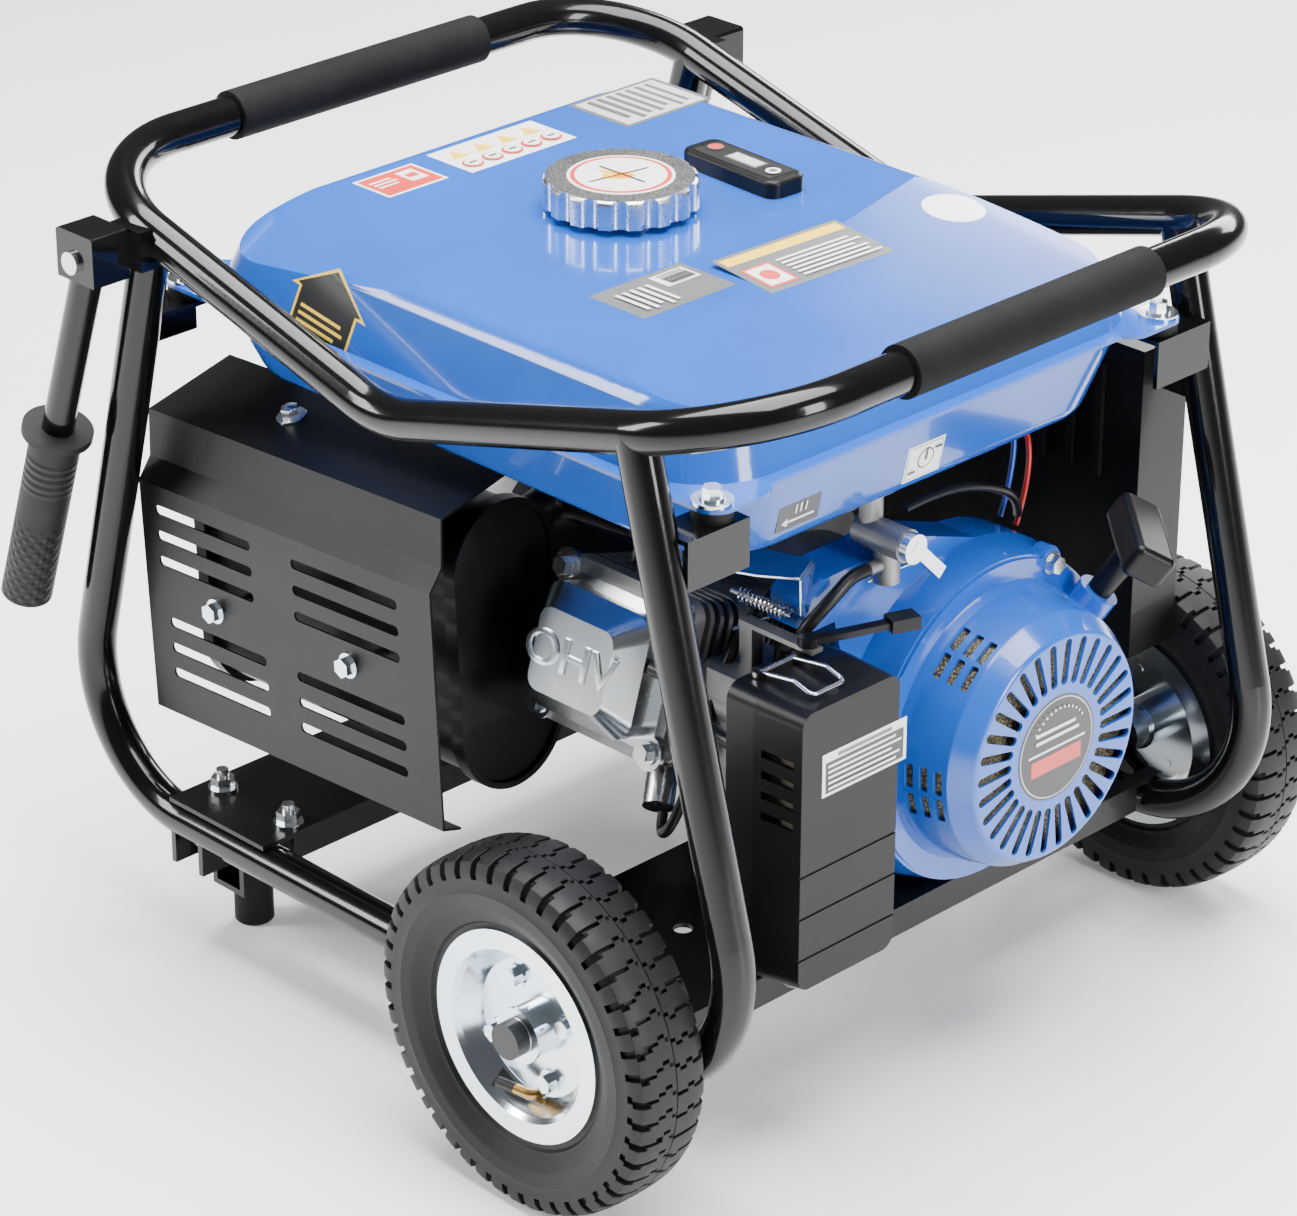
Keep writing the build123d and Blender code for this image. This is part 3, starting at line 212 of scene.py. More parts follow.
def zincPlate(name="zincPlate", colour=(0.7, 0.74, 0.78), rough=0.2, caps=()):
    # bright plating with faint blue and straw tints; caps are masks of dark or brass ends
    f = Finish(name)
    slow = f.noise(11, 3, 0.5)
    fine = f.noise(900, 4, 0.7)
    wear = f.step(f.noise(48, 6, 0.7), 0.6, 0.78)
    tone = f.ramp(slow, (0.3, (0.6, 0.69, 0.78)), (0.5, colour), (0.72, (0.78, 0.77, 0.71)))
    tone = f.blend(wear * 0.25, tone, (0.45, 0.46, 0.48))
    metal, rough = 1.0, f.step(slow * 0.6 + fine * 0.4, 0.3, 0.7, rough - 0.06, rough + 0.1) + wear * 0.12
    for low, high, paint, shine, matt in caps:
        inside = f.within(low, high)
        tone = f.blend(inside, tone, paint)
        metal = metal * (1 - inside) + inside * shine
        rough = rough * (1 - inside) + inside * matt
    f.shade(Base_Color=tone, Metallic=metal, Roughness=rough, Normal=f.bump(fine, 0.06, 0.0002))
    return f


def castMetal(name, colour, rough, metal=0.85, pores=0.35):
    f = Finish(name)
    sand = f.noise(1100, 6, 0.75)
    flow = f.noise(60, 4)
    tone = f.blend(f.step(flow, 0.3, 0.7), tuple(c * 0.82 for c in colour), tuple(min(1, c * 1.1) for c in colour))
    tone = f.blend(f.step(sand, 0.62, 0.75, 0.0, 0.35), tone, tuple(c * 0.4 for c in colour))
    f.shade(Base_Color=tone, Metallic=metal, Roughness=f.step(sand, 0.3, 0.7, rough - 0.1, rough + 0.12),
            Normal=f.bump(sand, pores, 0.0005))
    return f


def mouldedPlastic(name, colour, rough, leather=0.25, size=1500):
    f = Finish(name)
    pebble = f.cells(size, "SMOOTH_F1")
    slow = f.noise(20, 4)
    tone = f.blend(f.step(slow, 0.3, 0.7), tuple(c * 0.85 for c in colour), tuple(c * 1.2 + 0.001 for c in colour))
    f.shade(Base_Color=tone, Roughness=f.step(slow, 0.3, 0.7, rough - 0.05, rough + 0.06), Specular_IOR_Level=0.22,
            Normal=f.bump(pebble, leather, 0.0002))
    return f


def foamSleeve():
    f = Finish("foamSleeve")
    pores = f.cells(1300)
    grain = f.noise(2400, 4, 0.7)
    slow = f.noise(25, 4)
    tone = f.blend(f.step(slow, 0.3, 0.7), (0.0045, 0.0045, 0.0048), (0.008, 0.008, 0.0085))
    f.shade(Base_Color=tone, Roughness=f.step(grain, 0.3, 0.7, 0.68, 0.86), Specular_IOR_Level=0.12, Normal=f.bump(pores * 0.5 + grain * 0.5, 0.5, 0.0007))
    return f


def tyreRubber():
    f = Finish("tyreRubber")
    slow = f.noise(18, 5, 0.6)
    fine = f.noise(900, 5, 0.7)
    dust = f.step(f.noise(75, 8, 0.75), 0.56, 0.8, 0.0, 0.1)
    tone = f.blend(dust, f.blend(f.step(slow, 0.3, 0.7), (0.0055, 0.0055, 0.006), (0.0095, 0.0095, 0.0098)), (0.05, 0.048, 0.046))
    f.shade(Base_Color=tone, Roughness=f.step(slow * 0.5 + fine * 0.5, 0.3, 0.7, 0.4, 0.6), Specular_IOR_Level=0.25,
            Normal=f.bump(fine, 0.22, 0.0003))
    return f


def knurledGrip(name, pivot, lean):
    # raised diamonds over the lower part of the handle grip, smooth rubber above
    f = Finish(name)
    where = f.coords(turn=(0, math.radians(lean), 0), centre=pivot)
    parts = f.tree.nodes.new("ShaderNodeSeparateXYZ")
    f.feed(parts.inputs[0], where)
    x, y, z = (Wire(f, parts.outputs[k]) for k in range(3))
    around = f.add("ShaderNodeMath", {"operation": "ARCTAN2"}, {0: y, 1: x})
    first = f.add("ShaderNodeMath", {"operation": "SINE"}, {0: around * 12 + z * 760})
    second = f.add("ShaderNodeMath", {"operation": "SINE"}, {0: around * 12 - z * 760})
    diamonds = (1 + first) * (1 + second) * 0.25
    fine = f.noise(1400, 4)
    lower = f.step(z, -0.205, -0.200, 1.0, 0.0)
    rings = f.add("ShaderNodeMath", {"operation": "SINE"}, {0: z * 1150})
    upper = f.step(z, -0.172, -0.176, 1.0, 0.0) * f.step(z, -0.152, -0.148, 1.0, 0.0)
    height = diamonds * lower + (0.5 + 0.5 * rings) * upper * (1 - lower) + fine * 0.12
    tone = f.blend(f.step(f.noise(30, 4), 0.3, 0.7), (0.008, 0.008, 0.0085), (0.015, 0.015, 0.016))
    f.shade(Base_Color=tone, Roughness=f.step(fine, 0.3, 0.7, 0.5, 0.66), Specular_IOR_Level=0.25,
            Normal=f.bump(height, 0.7, 0.0011))
    return f


finishes = {
    "frame_paint": enamel("framePaint", (0.003, 0.003, 0.0033), 0.16, 0.06, 0.2, 0.3),
    "plate_paint": surface("platePaint", (0.004, 0.004, 0.0044), 0.34, coat=0.1, dust=0.02, lift=0.18, gloss=0.22),
    "foam": foamSleeve(),
    "rubber": surface("softRubber", (0.006, 0.006, 0.006), 0.62, lift=0.25, gloss=0.2),
    "grip_rubber": surface("gripRubber", (0.006, 0.006, 0.0065), 0.55, lift=0.25, gloss=0.25),
    "tyre": tyreRubber(),
    "zinc": zincPlate(),
    "tank_blue": enamel("tankEnamel", blue, 0.16, 0.025),
    "cover_blue": enamel("coverEnamel", (0.012, 0.095, 0.47), 0.2, 0.05, 0.4, 0.6),
    "cap_metal": castMetal("capMetal", (0.72, 0.72, 0.73), 0.27, 1.0, 0.1),
    "black_plastic": mouldedPlastic("blackPlastic", (0.0035, 0.0035, 0.0038), 0.36, 0.2),
    "cast_alloy": castMetal("castAlloy", (0.27, 0.27, 0.265), 0.4),
    "heat_black": surface("heatBlack", (0.003, 0.003, 0.0033), 0.4, coat=0.04, lift=0.25, grain=1300, dust=0.01, gloss=0.2),
    "steel": surface("turnedSteel", (0.42, 0.42, 0.43), 0.3, 1.0, grain=1500),
    "fan_khaki": mouldedPlastic("fanKhaki", (0.16, 0.13, 0.055), 0.45),
    "stator_steel": surface("statorLacquer", (0.006, 0.006, 0.006), 0.35, coat=0.1, gloss=0.25),
    "filter_foam": surface("filterFoam", (0.2, 0.19, 0.15), 0.8, lift=0.6, depth=0.001),
    "hose": surface("hoseRubber", (0.005, 0.005, 0.005), 0.38, lift=0.12, gloss=0.3),
    "panel": surface("panelPaint", (0.004, 0.004, 0.0045), 0.36, coat=0.08, lift=0.2, gloss=0.22),
    "socket_plastic": mouldedPlastic("socketPlastic", (0.02, 0.05, 0.16), 0.3, 0.15),
    "switch_red": mouldedPlastic("switchRed", (0.5, 0.012, 0.01), 0.28, 0.1),
}
knurls = {side: knurledGrip("knurl" + side, (-0.222, y, 0.462), 18.8) for side, y in (("Near", -0.258), ("Far", 0.258))}
# black rubber on the axle ends, brass valve stems with a black cap
dressed = {"pivot_pins": zincPlate("plainZinc", caps=[((0.15, -0.3, 0.09), (0.19, -0.2861, 0.13), (0.006, 0.006, 0.006), 0, 0.45),
                                                      ((0.15, 0.2861, 0.09), (0.19, 0.3, 0.13), (0.006, 0.006, 0.006), 0, 0.45)])}
for node, low, high in (("rim_near", -0.292, -0.2752), ("rim_far", 0.2752, 0.292)):
    dressed[node] = zincPlate("rimZinc" + node[4:], (0.72, 0.78, 0.83), 0.17, caps=[
        ((0.145, low, 0.066), (0.1805, high, 0.0768), (0.42, 0.25, 0.08), 1, 0.3),
        ((0.145, low, 0.066), (0.1655, high, 0.0778), (0.006, 0.006, 0.006), 0, 0.45)])
for part in frame["record"]["subparts"]:
    node = cadNodes.get(part["node"])
    if node is None:
        continue
    if part["node"] in dressed:
        chosen = dressed[part["node"]]
    elif part["node"].startswith("handle_grip"):
        chosen = knurls["Near" if "near" in part["node"] else "Far"]
    else:
        chosen = finishes[part["material_slot"]]
    node.data.materials.clear()
    node.data.materials.append(chosen.material)
print("finishes on every piece")


# ---------- mesh helpers

def finishMesh(bm, name, finish, body, smooth=True, angle=35, bevel=None, weld=True):
    if weld:
        bmesh.ops.remove_doubles(bm, verts=bm.verts, dist=1e-6)
    bmesh.ops.recalc_face_normals(bm, faces=bm.faces)
    mesh = bpy.data.meshes.new(name)
    bm.to_mesh(mesh)
    bm.free()
    piece = bpy.data.objects.new(name, mesh)
    bpy.context.collection.objects.link(piece)
    mesh.materials.append(finish.material if isinstance(finish, Finish) else finish)
    if bevel:
        edge = piece.modifiers.new("edge", "BEVEL")
        edge.width, edge.segments, edge.limit_method, edge.angle_limit = bevel, 2, "ANGLE", math.radians(angle)
        edge.harden_normals = False
    if smooth:
        mesh.polygons.foreach_set("use_smooth", [True] * len(mesh.polygons))
        mesh.set_sharp_from_angle(angle=math.radians(angle))
    if body:
        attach(piece, body)
    return piece


def spinOutline(bm, points, centre, axis, steps, closed=True):
    # points are (radius, offset along the axis); the outline is turned all the way round
    axis = Vector(axis)
    side = axis.orthogonal().normalized()
    verts = [bm.verts.new(Vector(centre) + side * r + axis * h) for r, h in points]
    pairs = list(zip(verts, verts[1:] + verts[:1])) if closed else list(zip(verts, verts[1:]))
    edges = [bm.edges.new(p) for p in pairs]
    bmesh.ops.spin(bm, geom=verts + edges, cent=centre, axis=axis, dvec=(0, 0, 0), angle=2 * math.pi,
                   steps=steps, use_merge=True, use_normal_flip=False, use_duplicate=False)


def addTube(name, points, radius, finish, body, resolution=6, order=3, cyclic=False):
    curve = bpy.data.curves.new(name, "CURVE")
    curve.dimensions = "3D"
    curve.bevel_depth = radius
    curve.bevel_resolution = resolution
    curve.resolution_u = 10
    curve.use_fill_caps = True
    line = curve.splines.new("NURBS")
    line.points.add(len(points) - 1)
    for place, p in zip(line.points, points):
        place.co = (*p, 1)
    line.order_u = min(order, len(points))
    line.use_endpoint_u = not cyclic
    line.use_cyclic_u = cyclic
    made = bpy.data.objects.new(name + "Line", curve)
    bpy.context.collection.objects.link(made)
    mesh = bpy.data.meshes.new_from_object(made.evaluated_get(bpy.context.evaluated_depsgraph_get()))
    bpy.data.objects.remove(made)
    bm = bmesh.new()
    bm.from_mesh(mesh)
    return finishMesh(bm, name, finish, body)


# ---------- tyres

tyreSizes = {"centre": (0.169, 0.268, 0.110), "pitches": 46, "outer": 0.1099, "bead": 0.0545, "half": 0.027,
             "groove": 0.0036, "steps": 6}


def makeTyre(side, name, body):
    s = tyreSizes
    x, y, z = s["centre"]
    centre = (x, side * y, z)
    count = s["pitches"] * s["steps"]
    bm = bmesh.new()
    outer = s["outer"]
    tread = [(outer - 0.0085, 0.0262), (outer - 0.0032, 0.0236), (outer - 0.0013, 0.0190), (outer - 0.0005, 0.0136),
             (outer - 0.0002, 0.0086), (outer - 0.0001, 0.0036), (outer, 0.0003)]
    wall = [(s["bead"], 0.0172), (s["bead"] + 0.004, 0.0186), (0.0655, 0.0178), (0.0685, 0.0186), (0.0700, 0.0206),
            (0.0712, 0.0209), (0.0730, 0.0222), (0.0800, 0.0258), (0.0812, 0.0264), (0.0880, 0.0266), (0.0888, 0.0269),
            (0.0896, 0.0266), (0.0955, 0.0266), (0.0975, 0.0264)]
    inner = [(0.0965, 0.018), (0.085, 0.0195), (0.070, 0.011), (s["bead"], 0.0090)]
    up = wall + tread
    points = up + [(r, -h) for r, h in reversed(up)] + [(r, -h) for r, h in reversed(inner)] + inner
    axis = Vector((0, side, 0))
    spinOutline(bm, points, centre, axis, count)
    bmesh.ops.remove_doubles(bm, verts=bm.verts, dist=1e-7)
    bmesh.ops.recalc_face_normals(bm, faces=bm.faces)
    cut = []
    for face in bm.faces:
        c = face.calc_center_median() - Vector(centre)
        offset = c.dot(axis)
        flat = c - axis * offset
        if flat.length < outer - 0.0105:
            continue
        phase = int((math.atan2(flat.z, flat.x) / (2 * math.pi)) % 1.0 * count) % s["steps"]
        reach = abs(offset)
        if reach > 0.0190:
            low = phase in (1, 2)
        elif reach > 0.0086:
            low = phase == (2 if offset > 0 else 1)
        elif reach > 0.0036:
            low = phase == (3 if offset > 0 else 0)
        elif reach > 0.0003:
            low = phase == (2 if offset > 0 else 1)
        else:
            low = True
        if low:
            cut.append(face)
    pulled = bmesh.ops.extrude_face_region(bm, geom=cut)
    bmesh.ops.delete(bm, geom=cut, context="FACES")
    for vert in [g for g in pulled["geom"] if isinstance(g, bmesh.types.BMVert)]:
        c = vert.co - Vector(centre)
        reach = abs(c.dot(axis))
        flat = c - axis * c.dot(axis)
        vert.co -= flat.normalized() * (0.0009 if reach < 0.00035 else s["groove"])
        if reach > 0.0215:
            vert.co -= axis * math.copysign(0.0026, c.dot(axis))
    piece = finishMesh(bm, name, finishes["tyre"], body, angle=32, bevel=0.0004)
    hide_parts("tyre_near" if side < 0 else "tyre_far")
    return piece


makeTyre(-1, "lugged_tyre_near", "wheel_near")
makeTyre(1, "lugged_tyre_far", "wheel_far")
print("tyres lugged")

# ---------- helpers that seat small pieces on the frame

bpy.context.view_layer.update()
printed = {name: surface("printed" + name.capitalize(), colour, 0.34, coat=0.3, spread=0.05, grain=1800, lift=0.04)
           for name, colour in {"white": (0.8, 0.8, 0.79), "black": (0.012, 0.012, 0.013), "grey": (0.11, 0.115, 0.12),
                                "yellow": (0.8, 0.52, 0.03), "red": (0.62, 0.045, 0.035), "orange": (0.8, 0.22, 0.02),
                                "silver": (0.5, 0.51, 0.52)}.items()}
brightWire = surface("brightWire", (0.75, 0.76, 0.78), 0.16, 1.0, grain=1500, lift=0.05)
cableRed = surface("cableRed", (0.5, 0.01, 0.01), 0.35, coat=0.2)
cableBlue = surface("cableBlue", (0.01, 0.06, 0.4), 0.35, coat=0.2)


def touch(node, start, heading):
    # where a straight line first meets a piece, and which way that surface faces
    hit, place, facing, index = cadNodes[node].ray_cast(Vector(start), Vector(heading).normalized())
    if not hit:
        raise RuntimeError("nothing to seat on at " + node)
    return place, facing


def seatMatrix(place, facing, right):
    normal = Vector(facing).normalized()
    right = Vector(right)
    right = (right - normal * right.dot(normal)).normalized()
    matrix = Matrix((right, normal.cross(right), normal)).transposed().to_4x4()
    matrix.translation = Vector(place)
    return matrix


def addLabel(name, seat, layers, body="chassis", skin=0.00012):
    # layers are stacked films: ("bar", u, v, wide, high), ("disc", u, v, radius) or ("shape", points), each with a colour
    bm = bmesh.new()
    used = []
    for level, (kind, values, colour) in enumerate(layers):
        if colour not in used:
            used.append(colour)
        at = Matrix.Translation((0, 0, level * skin * 0.8))
        if kind == "bar":
            u, v, wide, high = values
            made = bmesh.ops.create_grid(bm, x_segments=1, y_segments=1, size=0.5,
                                         matrix=at @ Matrix.Translation((u, v, 0)) @ Matrix.Diagonal((wide, high, 1, 1)))
            verts = made["verts"]
        elif kind == "disc":
            u, v, radius = values
            verts = bmesh.ops.create_circle(bm, cap_ends=True, segments=64, radius=radius,
                                            matrix=at @ Matrix.Translation((u, v, 0)))["verts"]
        else:
            verts = [bm.verts.new(at @ Vector((u, v, 0))) for u, v in values]
            bm.faces.new(verts)
        face = next(iter(verts[0].link_faces))
        face.material_index = used.index(colour)
        grown = bmesh.ops.extrude_face_region(bm, geom=[face])
        bmesh.ops.translate(bm, vec=(0, 0, skin), verts=[g for g in grown["geom"] if isinstance(g, bmesh.types.BMVert)])
    bmesh.ops.transform(bm, matrix=seat, verts=bm.verts)
    piece = finishMesh(bm, name, printed[used[0]], body, smooth=False, weld=False)
    for colour in used[1:]:
        piece.data.materials.append(printed[colour].material)
    return piece


def bars(u, v, wide, high, rows, colour):
    # rows of short plain strokes where small print would be
    out = []
    for row in range(rows):
        y = v + high / 2 - (row + 0.5) * high / rows
        shorter = (0.92, 1.0, 0.86, 0.97)[row % 4]
        out.append(("bar", (u - wide * (1 - shorter) / 2, y, wide * shorter, high / rows * 0.42), colour))
    return out


def addBolt(name, place, heading, body="chassis", across=0.010, height=0.006, washer=0.0095, finish=None):
    # hexagon head with a crown chamfer and a washer face
    bm = bmesh.new()
    head = bmesh.ops.create_circle(bm, cap_ends=True, segments=6, radius=across / 2 / math.cos(math.pi / 6))
    face = next(iter(head["verts"][0].link_faces))
    grown = bmesh.ops.extrude_face_region(bm, geom=[face])
    top = [g for g in grown["geom"] if isinstance(g, bmesh.types.BMVert)]
    bmesh.ops.translate(bm, vec=(0, 0, height), verts=top)
    bmesh.ops.bevel(bm, geom=[e for e in bm.edges if all(abs(v.co.z - height) < 1e-6 for v in e.verts)], offset=0.0007,
                    offset_type="OFFSET", affect="EDGES", segments=2, profile=0.5, material=-1)
    seat = seatMatrix(place, heading, Vector(heading).orthogonal())
    bmesh.ops.translate(bm, vec=(0, 0, 0.0011), verts=bm.verts)
    spinOutline(bm, [(0.0001, 0), (washer, 0), (washer, 0.0009), (washer - 0.0004, 0.0012), (0.0001, 0.0012)],
                (0, 0, 0), (0, 0, 1), 40)
    bmesh.ops.transform(bm, matrix=seat, verts=bm.verts)
    return finishMesh(bm, name, finish or finishes["zinc"], body, angle=30)


# ---------- fuel cap, gauge and tank labels

capTop, capFacing = touch("tank_cap", (-0.040, 0, 0.6), (0, 0, -1))
flame = [(-0.012, -0.006), (-0.006, -0.0085), (0.004, -0.0075), (0.009, -0.002), (0.006, 0.0035), (-0.002, 0.0045),
         (-0.016, 0.0085), (-0.010, 0.0015)]
cross = 0.0011
addLabel("cap_disc", seatMatrix(capTop, capFacing, (1, 1, 0)), [
    ("disc", (0, 0, 0.0325), "white"), ("disc", (0, 0, 0.0305), "red"), ("disc", (0, 0, 0.0278), "white"),
    ("shape", flame, "yellow"), ("shape", [(u * 0.55 + 0.002, v * 0.55 - 0.0015) for u, v in flame], "orange"),
    ("shape", [(-0.019, -0.0125), (-0.018, -0.0135), (0.0165, 0.0105), (0.0155, 0.0115)], "black"),
    ("shape", [(-0.0125, 0.0135), (-0.0135, 0.0125), (0.0135, -0.0135), (0.0145, -0.0125)], "black"),
], "fuel_cap")

gaugeTop, gaugeFacing = touch("fuel_gauge", (-0.027, 0.091, 0.6), (0, 0, -1))
addLabel("gauge_face", seatMatrix(gaugeTop, gaugeFacing, (math.cos(math.radians(-3)), math.sin(math.radians(-3)), 0)), [
    ("bar", (0, 0, 0.068, 0.021), "black"), ("bar", (0.002, 0.0005, 0.0275, 0.0115), "grey"),
    ("bar", (0.002, 0.0005, 0.0245, 0.0085), "silver"), ("disc", (-0.0265, 0.0015, 0.0052), "grey"),
    ("disc", (-0.0265, 0.0015, 0.0043), "red"), ("disc", (0.0275, -0.001, 0.0048), "white"),
    ("disc", (0.0275, -0.001, 0.0026), "grey")], "chassis", 0.00025)

tankLabels = {
    "plate_data": {"at": (-0.165, 0.139), "right": (1, 0, 0), "layers": [("bar", (0, 0, 0.055, 0.075), "grey")]
                   + [("bar", (0, 0, 0.049, 0.068), "silver")] + bars(0, 0, 0.043, 0.058, 7, "grey")},
    "label_marks": {"at": (-0.168, 0.022), "right": (0, 1, 0), "layers": [("bar", (0, 0, 0.088, 0.042), "white")]
                    + [("shape", [(k * 0.02 - 0.037, 0.003), (k * 0.02 - 0.023, 0.003), (k * 0.02 - 0.030, 0.015)], "yellow")
                       for k in range(4)]
                    + [("disc", (k * 0.0165 - 0.033, -0.0095, 0.0068), "red") for k in range(5)]
                    + [("disc", (k * 0.0165 - 0.033, -0.0095, 0.0054), "white") for k in range(5)]
                    + [("bar", (k * 0.0165 - 0.033, -0.0095, 0.006, 0.0016), "grey") for k in range(5)]},
    "label_red": {"at": (-0.168, -0.062), "right": (0, 1, 0), "layers": [
        ("bar", (0, 0, 0.048, 0.034), "white"), ("bar", (0, 0, 0.044, 0.030), "red"), ("bar", (0.011, 0.002, 0.013, 0.017), "white"),
        ("bar", (0.011, 0.002, 0.008, 0.006), "red")] + bars(-0.010, 0.002, 0.018, 0.014, 3, "white")},
    "label_caution": {"at": (0.087, 0.025), "right": (0, 1, 0), "layers": [
        ("bar", (0, 0, 0.105, 0.050), "grey"), ("bar", (0, 0.0175, 0.099, 0.0085), "yellow"),
        ("bar", (-0.036, -0.007, 0.023, 0.026), "red"), ("bar", (-0.036, -0.007, 0.019, 0.022), "white"),
        ("disc", (-0.036, -0.007, 0.0062), "red")] + bars(0.014, -0.007, 0.066, 0.027, 6, "white")},
    "label_stock": {"at": (0.068, -0.072), "right": (1, 0, 0), "layers": [
        ("bar", (0, 0, 0.046, 0.074), "grey"), ("bar", (-0.010, 0.0195, 0.017, 0.026), "white")]
        + [("bar", (-0.0165 + k * 0.0019, 0.0205, 0.0008 if k % 3 else 0.0012, 0.020), "black") for k in range(8)]
        + bars(0.004, -0.015, 0.030, 0.030, 5, "white")},
    "spot_white": {"at": (0.090, 0.152), "right": (1, 0, 0), "layers": [("disc", (0, 0, 0.0195), "white"),
                                                                        ("disc", (0, 0, 0.0188), "white")]},
    "label_hot": {"at": (-0.092, -0.187), "right": (0.93, -0.37, 0), "layers": [
        ("shape", [(-0.031, -0.018), (0.022, -0.018), (0.022, 0.008), (0.030, 0.008), (-0.004, 0.030), (-0.038, 0.008),
                   (-0.031, 0.008)], "yellow"),
        ("shape", [(-0.029, -0.016), (0.020, -0.016), (0.020, 0.009), (0.025, 0.010), (-0.004, 0.0275), (-0.033, 0.010),
                   (-0.029, 0.009)], "black")] + bars(-0.005, -0.006, 0.040, 0.014, 3, "yellow")},
}
for name, spec in tankLabels.items():
    place, facing = touch("tank_upper_shell", (*spec["at"], 0.6), (0, 0, -1))
    addLabel(name, seatMatrix(place, facing, spec["right"]), spec["layers"])
shellLabels = {
    "label_tap": (-0.006, 0.392, [("bar", (0, 0, 0.031, 0.024), "white"), ("bar", (0, 0, 0.0285, 0.0215), "grey"),
                                  ("bar", (0, 0, 0.0275, 0.0205), "white"), ("disc", (0.001, 0.001, 0.0068), "black"),
                                  ("disc", (0.001, 0.001, 0.0058), "white"), ("bar", (0.001, 0.004, 0.0022, 0.0085), "black"),
                                  ("bar", (-0.0095, -0.006, 0.006, 0.0016), "black"),
                                  ("bar", (0.0105, 0.006, 0.006, 0.0016), "black")]),
    "label_choke": (-0.109, 0.392, [("bar", (0, 0, 0.034, 0.017), "black"), ("bar", (0.002, -0.0035, 0.022, 0.0014), "white"),
                                    ("shape", [(-0.0135, -0.0035), (-0.0085, -0.0008), (-0.0085, -0.0062)], "white"),
                                    ("bar", (0.001, 0.004, 0.0012, 0.006), "white"), ("bar", (-0.003, 0.004, 0.0012, 0.006), "white"),
                                    ("bar", (0.005, 0.004, 0.0012, 0.006), "white")]),
}
for name, (y, z, layers) in shellLabels.items():
    place, facing = touch("tank_lower_shell", (0.35, y, z), (-1, 0, 0))
    addLabel(name, seatMatrix(place, facing, (0, 1, 0)), layers)
print("cap, gauge and tank labels laid")

# ---------- engine top: starter badge, screen, valve cover letters

hub = {"centre": (0.273, 0.050, 0.209), "badge": 0.0335}
addLabel("starter_badge", seatMatrix(hub["centre"], (1, 0, 0), (0, 1, 0)), [
    ("disc", (0, 0, hub["badge"]), "black"), ("disc", (0, 0, hub["badge"] - 0.0014), "silver"),
    ("disc", (0, 0, hub["badge"] - 0.0022), "black"), ("bar", (0, -0.0085, 0.044, 0.0105), "red"),
    ("bar", (0, 0.0005, 0.050, 0.0014), "white")] + bars(0, 0.0105, 0.038, 0.010, 2, "white")
    + [("disc", (0.026 * math.cos(a), 0.026 * math.sin(a), 0.0008), "white")
       for a in [math.radians(d) for d in range(35, 150, 9)]], "chassis", 0.00014)

bm = bmesh.new()
spinOutline(bm, [(0.030, 0.2652), (0.0705, 0.2652), (0.0775, 0.2560), (0.0835, 0.2300), (0.0825, 0.2296), (0.0765, 0.2550),
                 (0.0697, 0.2640), (0.030, 0.2640)], (0, 0.050, 0.209), (1, 0, 0), 96)
meshCloth = Finish("screenMesh")
weave = meshCloth.cells(620)
meshCloth.shade(Base_Color=meshCloth.ramp(weave, (0.35, (0.2, 0.17, 0.08)), (0.6, (0.03, 0.026, 0.014))), Roughness=0.5,
                Metallic=0.2, Normal=meshCloth.bump(weave, 0.6, 0.0008))
finishMesh(bm, "starter_screen", meshCloth, "chassis")

coverUp = Vector((0, -math.cos(math.radians(17)), math.sin(math.radians(17))))
letters = bpy.data.curves.new("coverLetters", "FONT")
letters.body = "OHV"
letters.size, letters.extrude, letters.bevel_depth = 0.030, 0.0006, 0.0003
letters.align_x, letters.align_y = "CENTER", "CENTER"
holder = bpy.data.objects.new("coverLetters", letters)
bpy.context.collection.objects.link(holder)
bpy.context.view_layer.update()
mesh = bpy.data.meshes.new_from_object(holder.evaluated_get(bpy.context.evaluated_depsgraph_get()))
bpy.data.objects.remove(holder)
bm = bmesh.new()
bm.from_mesh(mesh)
place, facing = touch("valve_cover", Vector((0.088, 0.050, 0.209)) + coverUp * 0.4, -coverUp)
bmesh.ops.transform(bm, matrix=seatMatrix(place + facing * 0.0003, facing, (1, 0, 0)) @ Matrix.Diagonal((1.15, 1, 1, 1)),
                    verts=bm.verts)
finishMesh(bm, "cover_letters", finishes["zinc"], "chassis", angle=30)

place, facing = touch("air_cleaner_cover", (0.4, -0.104, 0.2555), (-1, 0, 0))
addLabel("cleaner_label", seatMatrix(place, facing, (0, 1, 0)), [
    ("bar", (0, 0, 0.069, 0.027), "white"), ("bar", (0, -0.002, 0.064, 0.0195), "black"),
    ("bar", (0, 0.0103, 0.044, 0.0022), "grey")] + bars(0, -0.002, 0.060, 0.017, 5, "white"), "chassis")
print("badge, letters and cleaner label set")

# ---------- leads, linkage and small fittings

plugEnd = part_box("spark_plug")
addTube("plug_lead", [(0.137, -0.139, 0.184), (0.144, -0.150, 0.174), (0.158, -0.150, 0.190), (0.160, -0.128, 0.240),
                      (0.156, -0.105, 0.286), (0.160, -0.070, 0.318), (0.166, -0.030, 0.324), (0.172, 0.000, 0.322)],
        0.0032, finishes["hose"], "chassis")
addTube("coil_cable", [(0.190, 0.004, 0.350), (0.190, 0.035, 0.352), (0.188, 0.075, 0.342), (0.184, 0.112, 0.322),
                       (0.170, 0.128, 0.300)], 0.0028, finishes["hose"], "chassis")
addTube("switch_wire_red", [(0.166, 0.132, 0.290), (0.168, 0.140, 0.318), (0.158, 0.150, 0.345), (0.120, 0.165, 0.362),
                            (0.060, 0.185, 0.350), (0.030, 0.197, 0.330)], 0.0017, cableRed, "chassis")
addTube("switch_wire_blue", [(0.160, 0.124, 0.296), (0.160, 0.134, 0.322), (0.150, 0.146, 0.350), (0.110, 0.160, 0.366),
                             (0.056, 0.182, 0.354), (0.026, 0.197, 0.334)], 0.0017, cableBlue, "chassis")
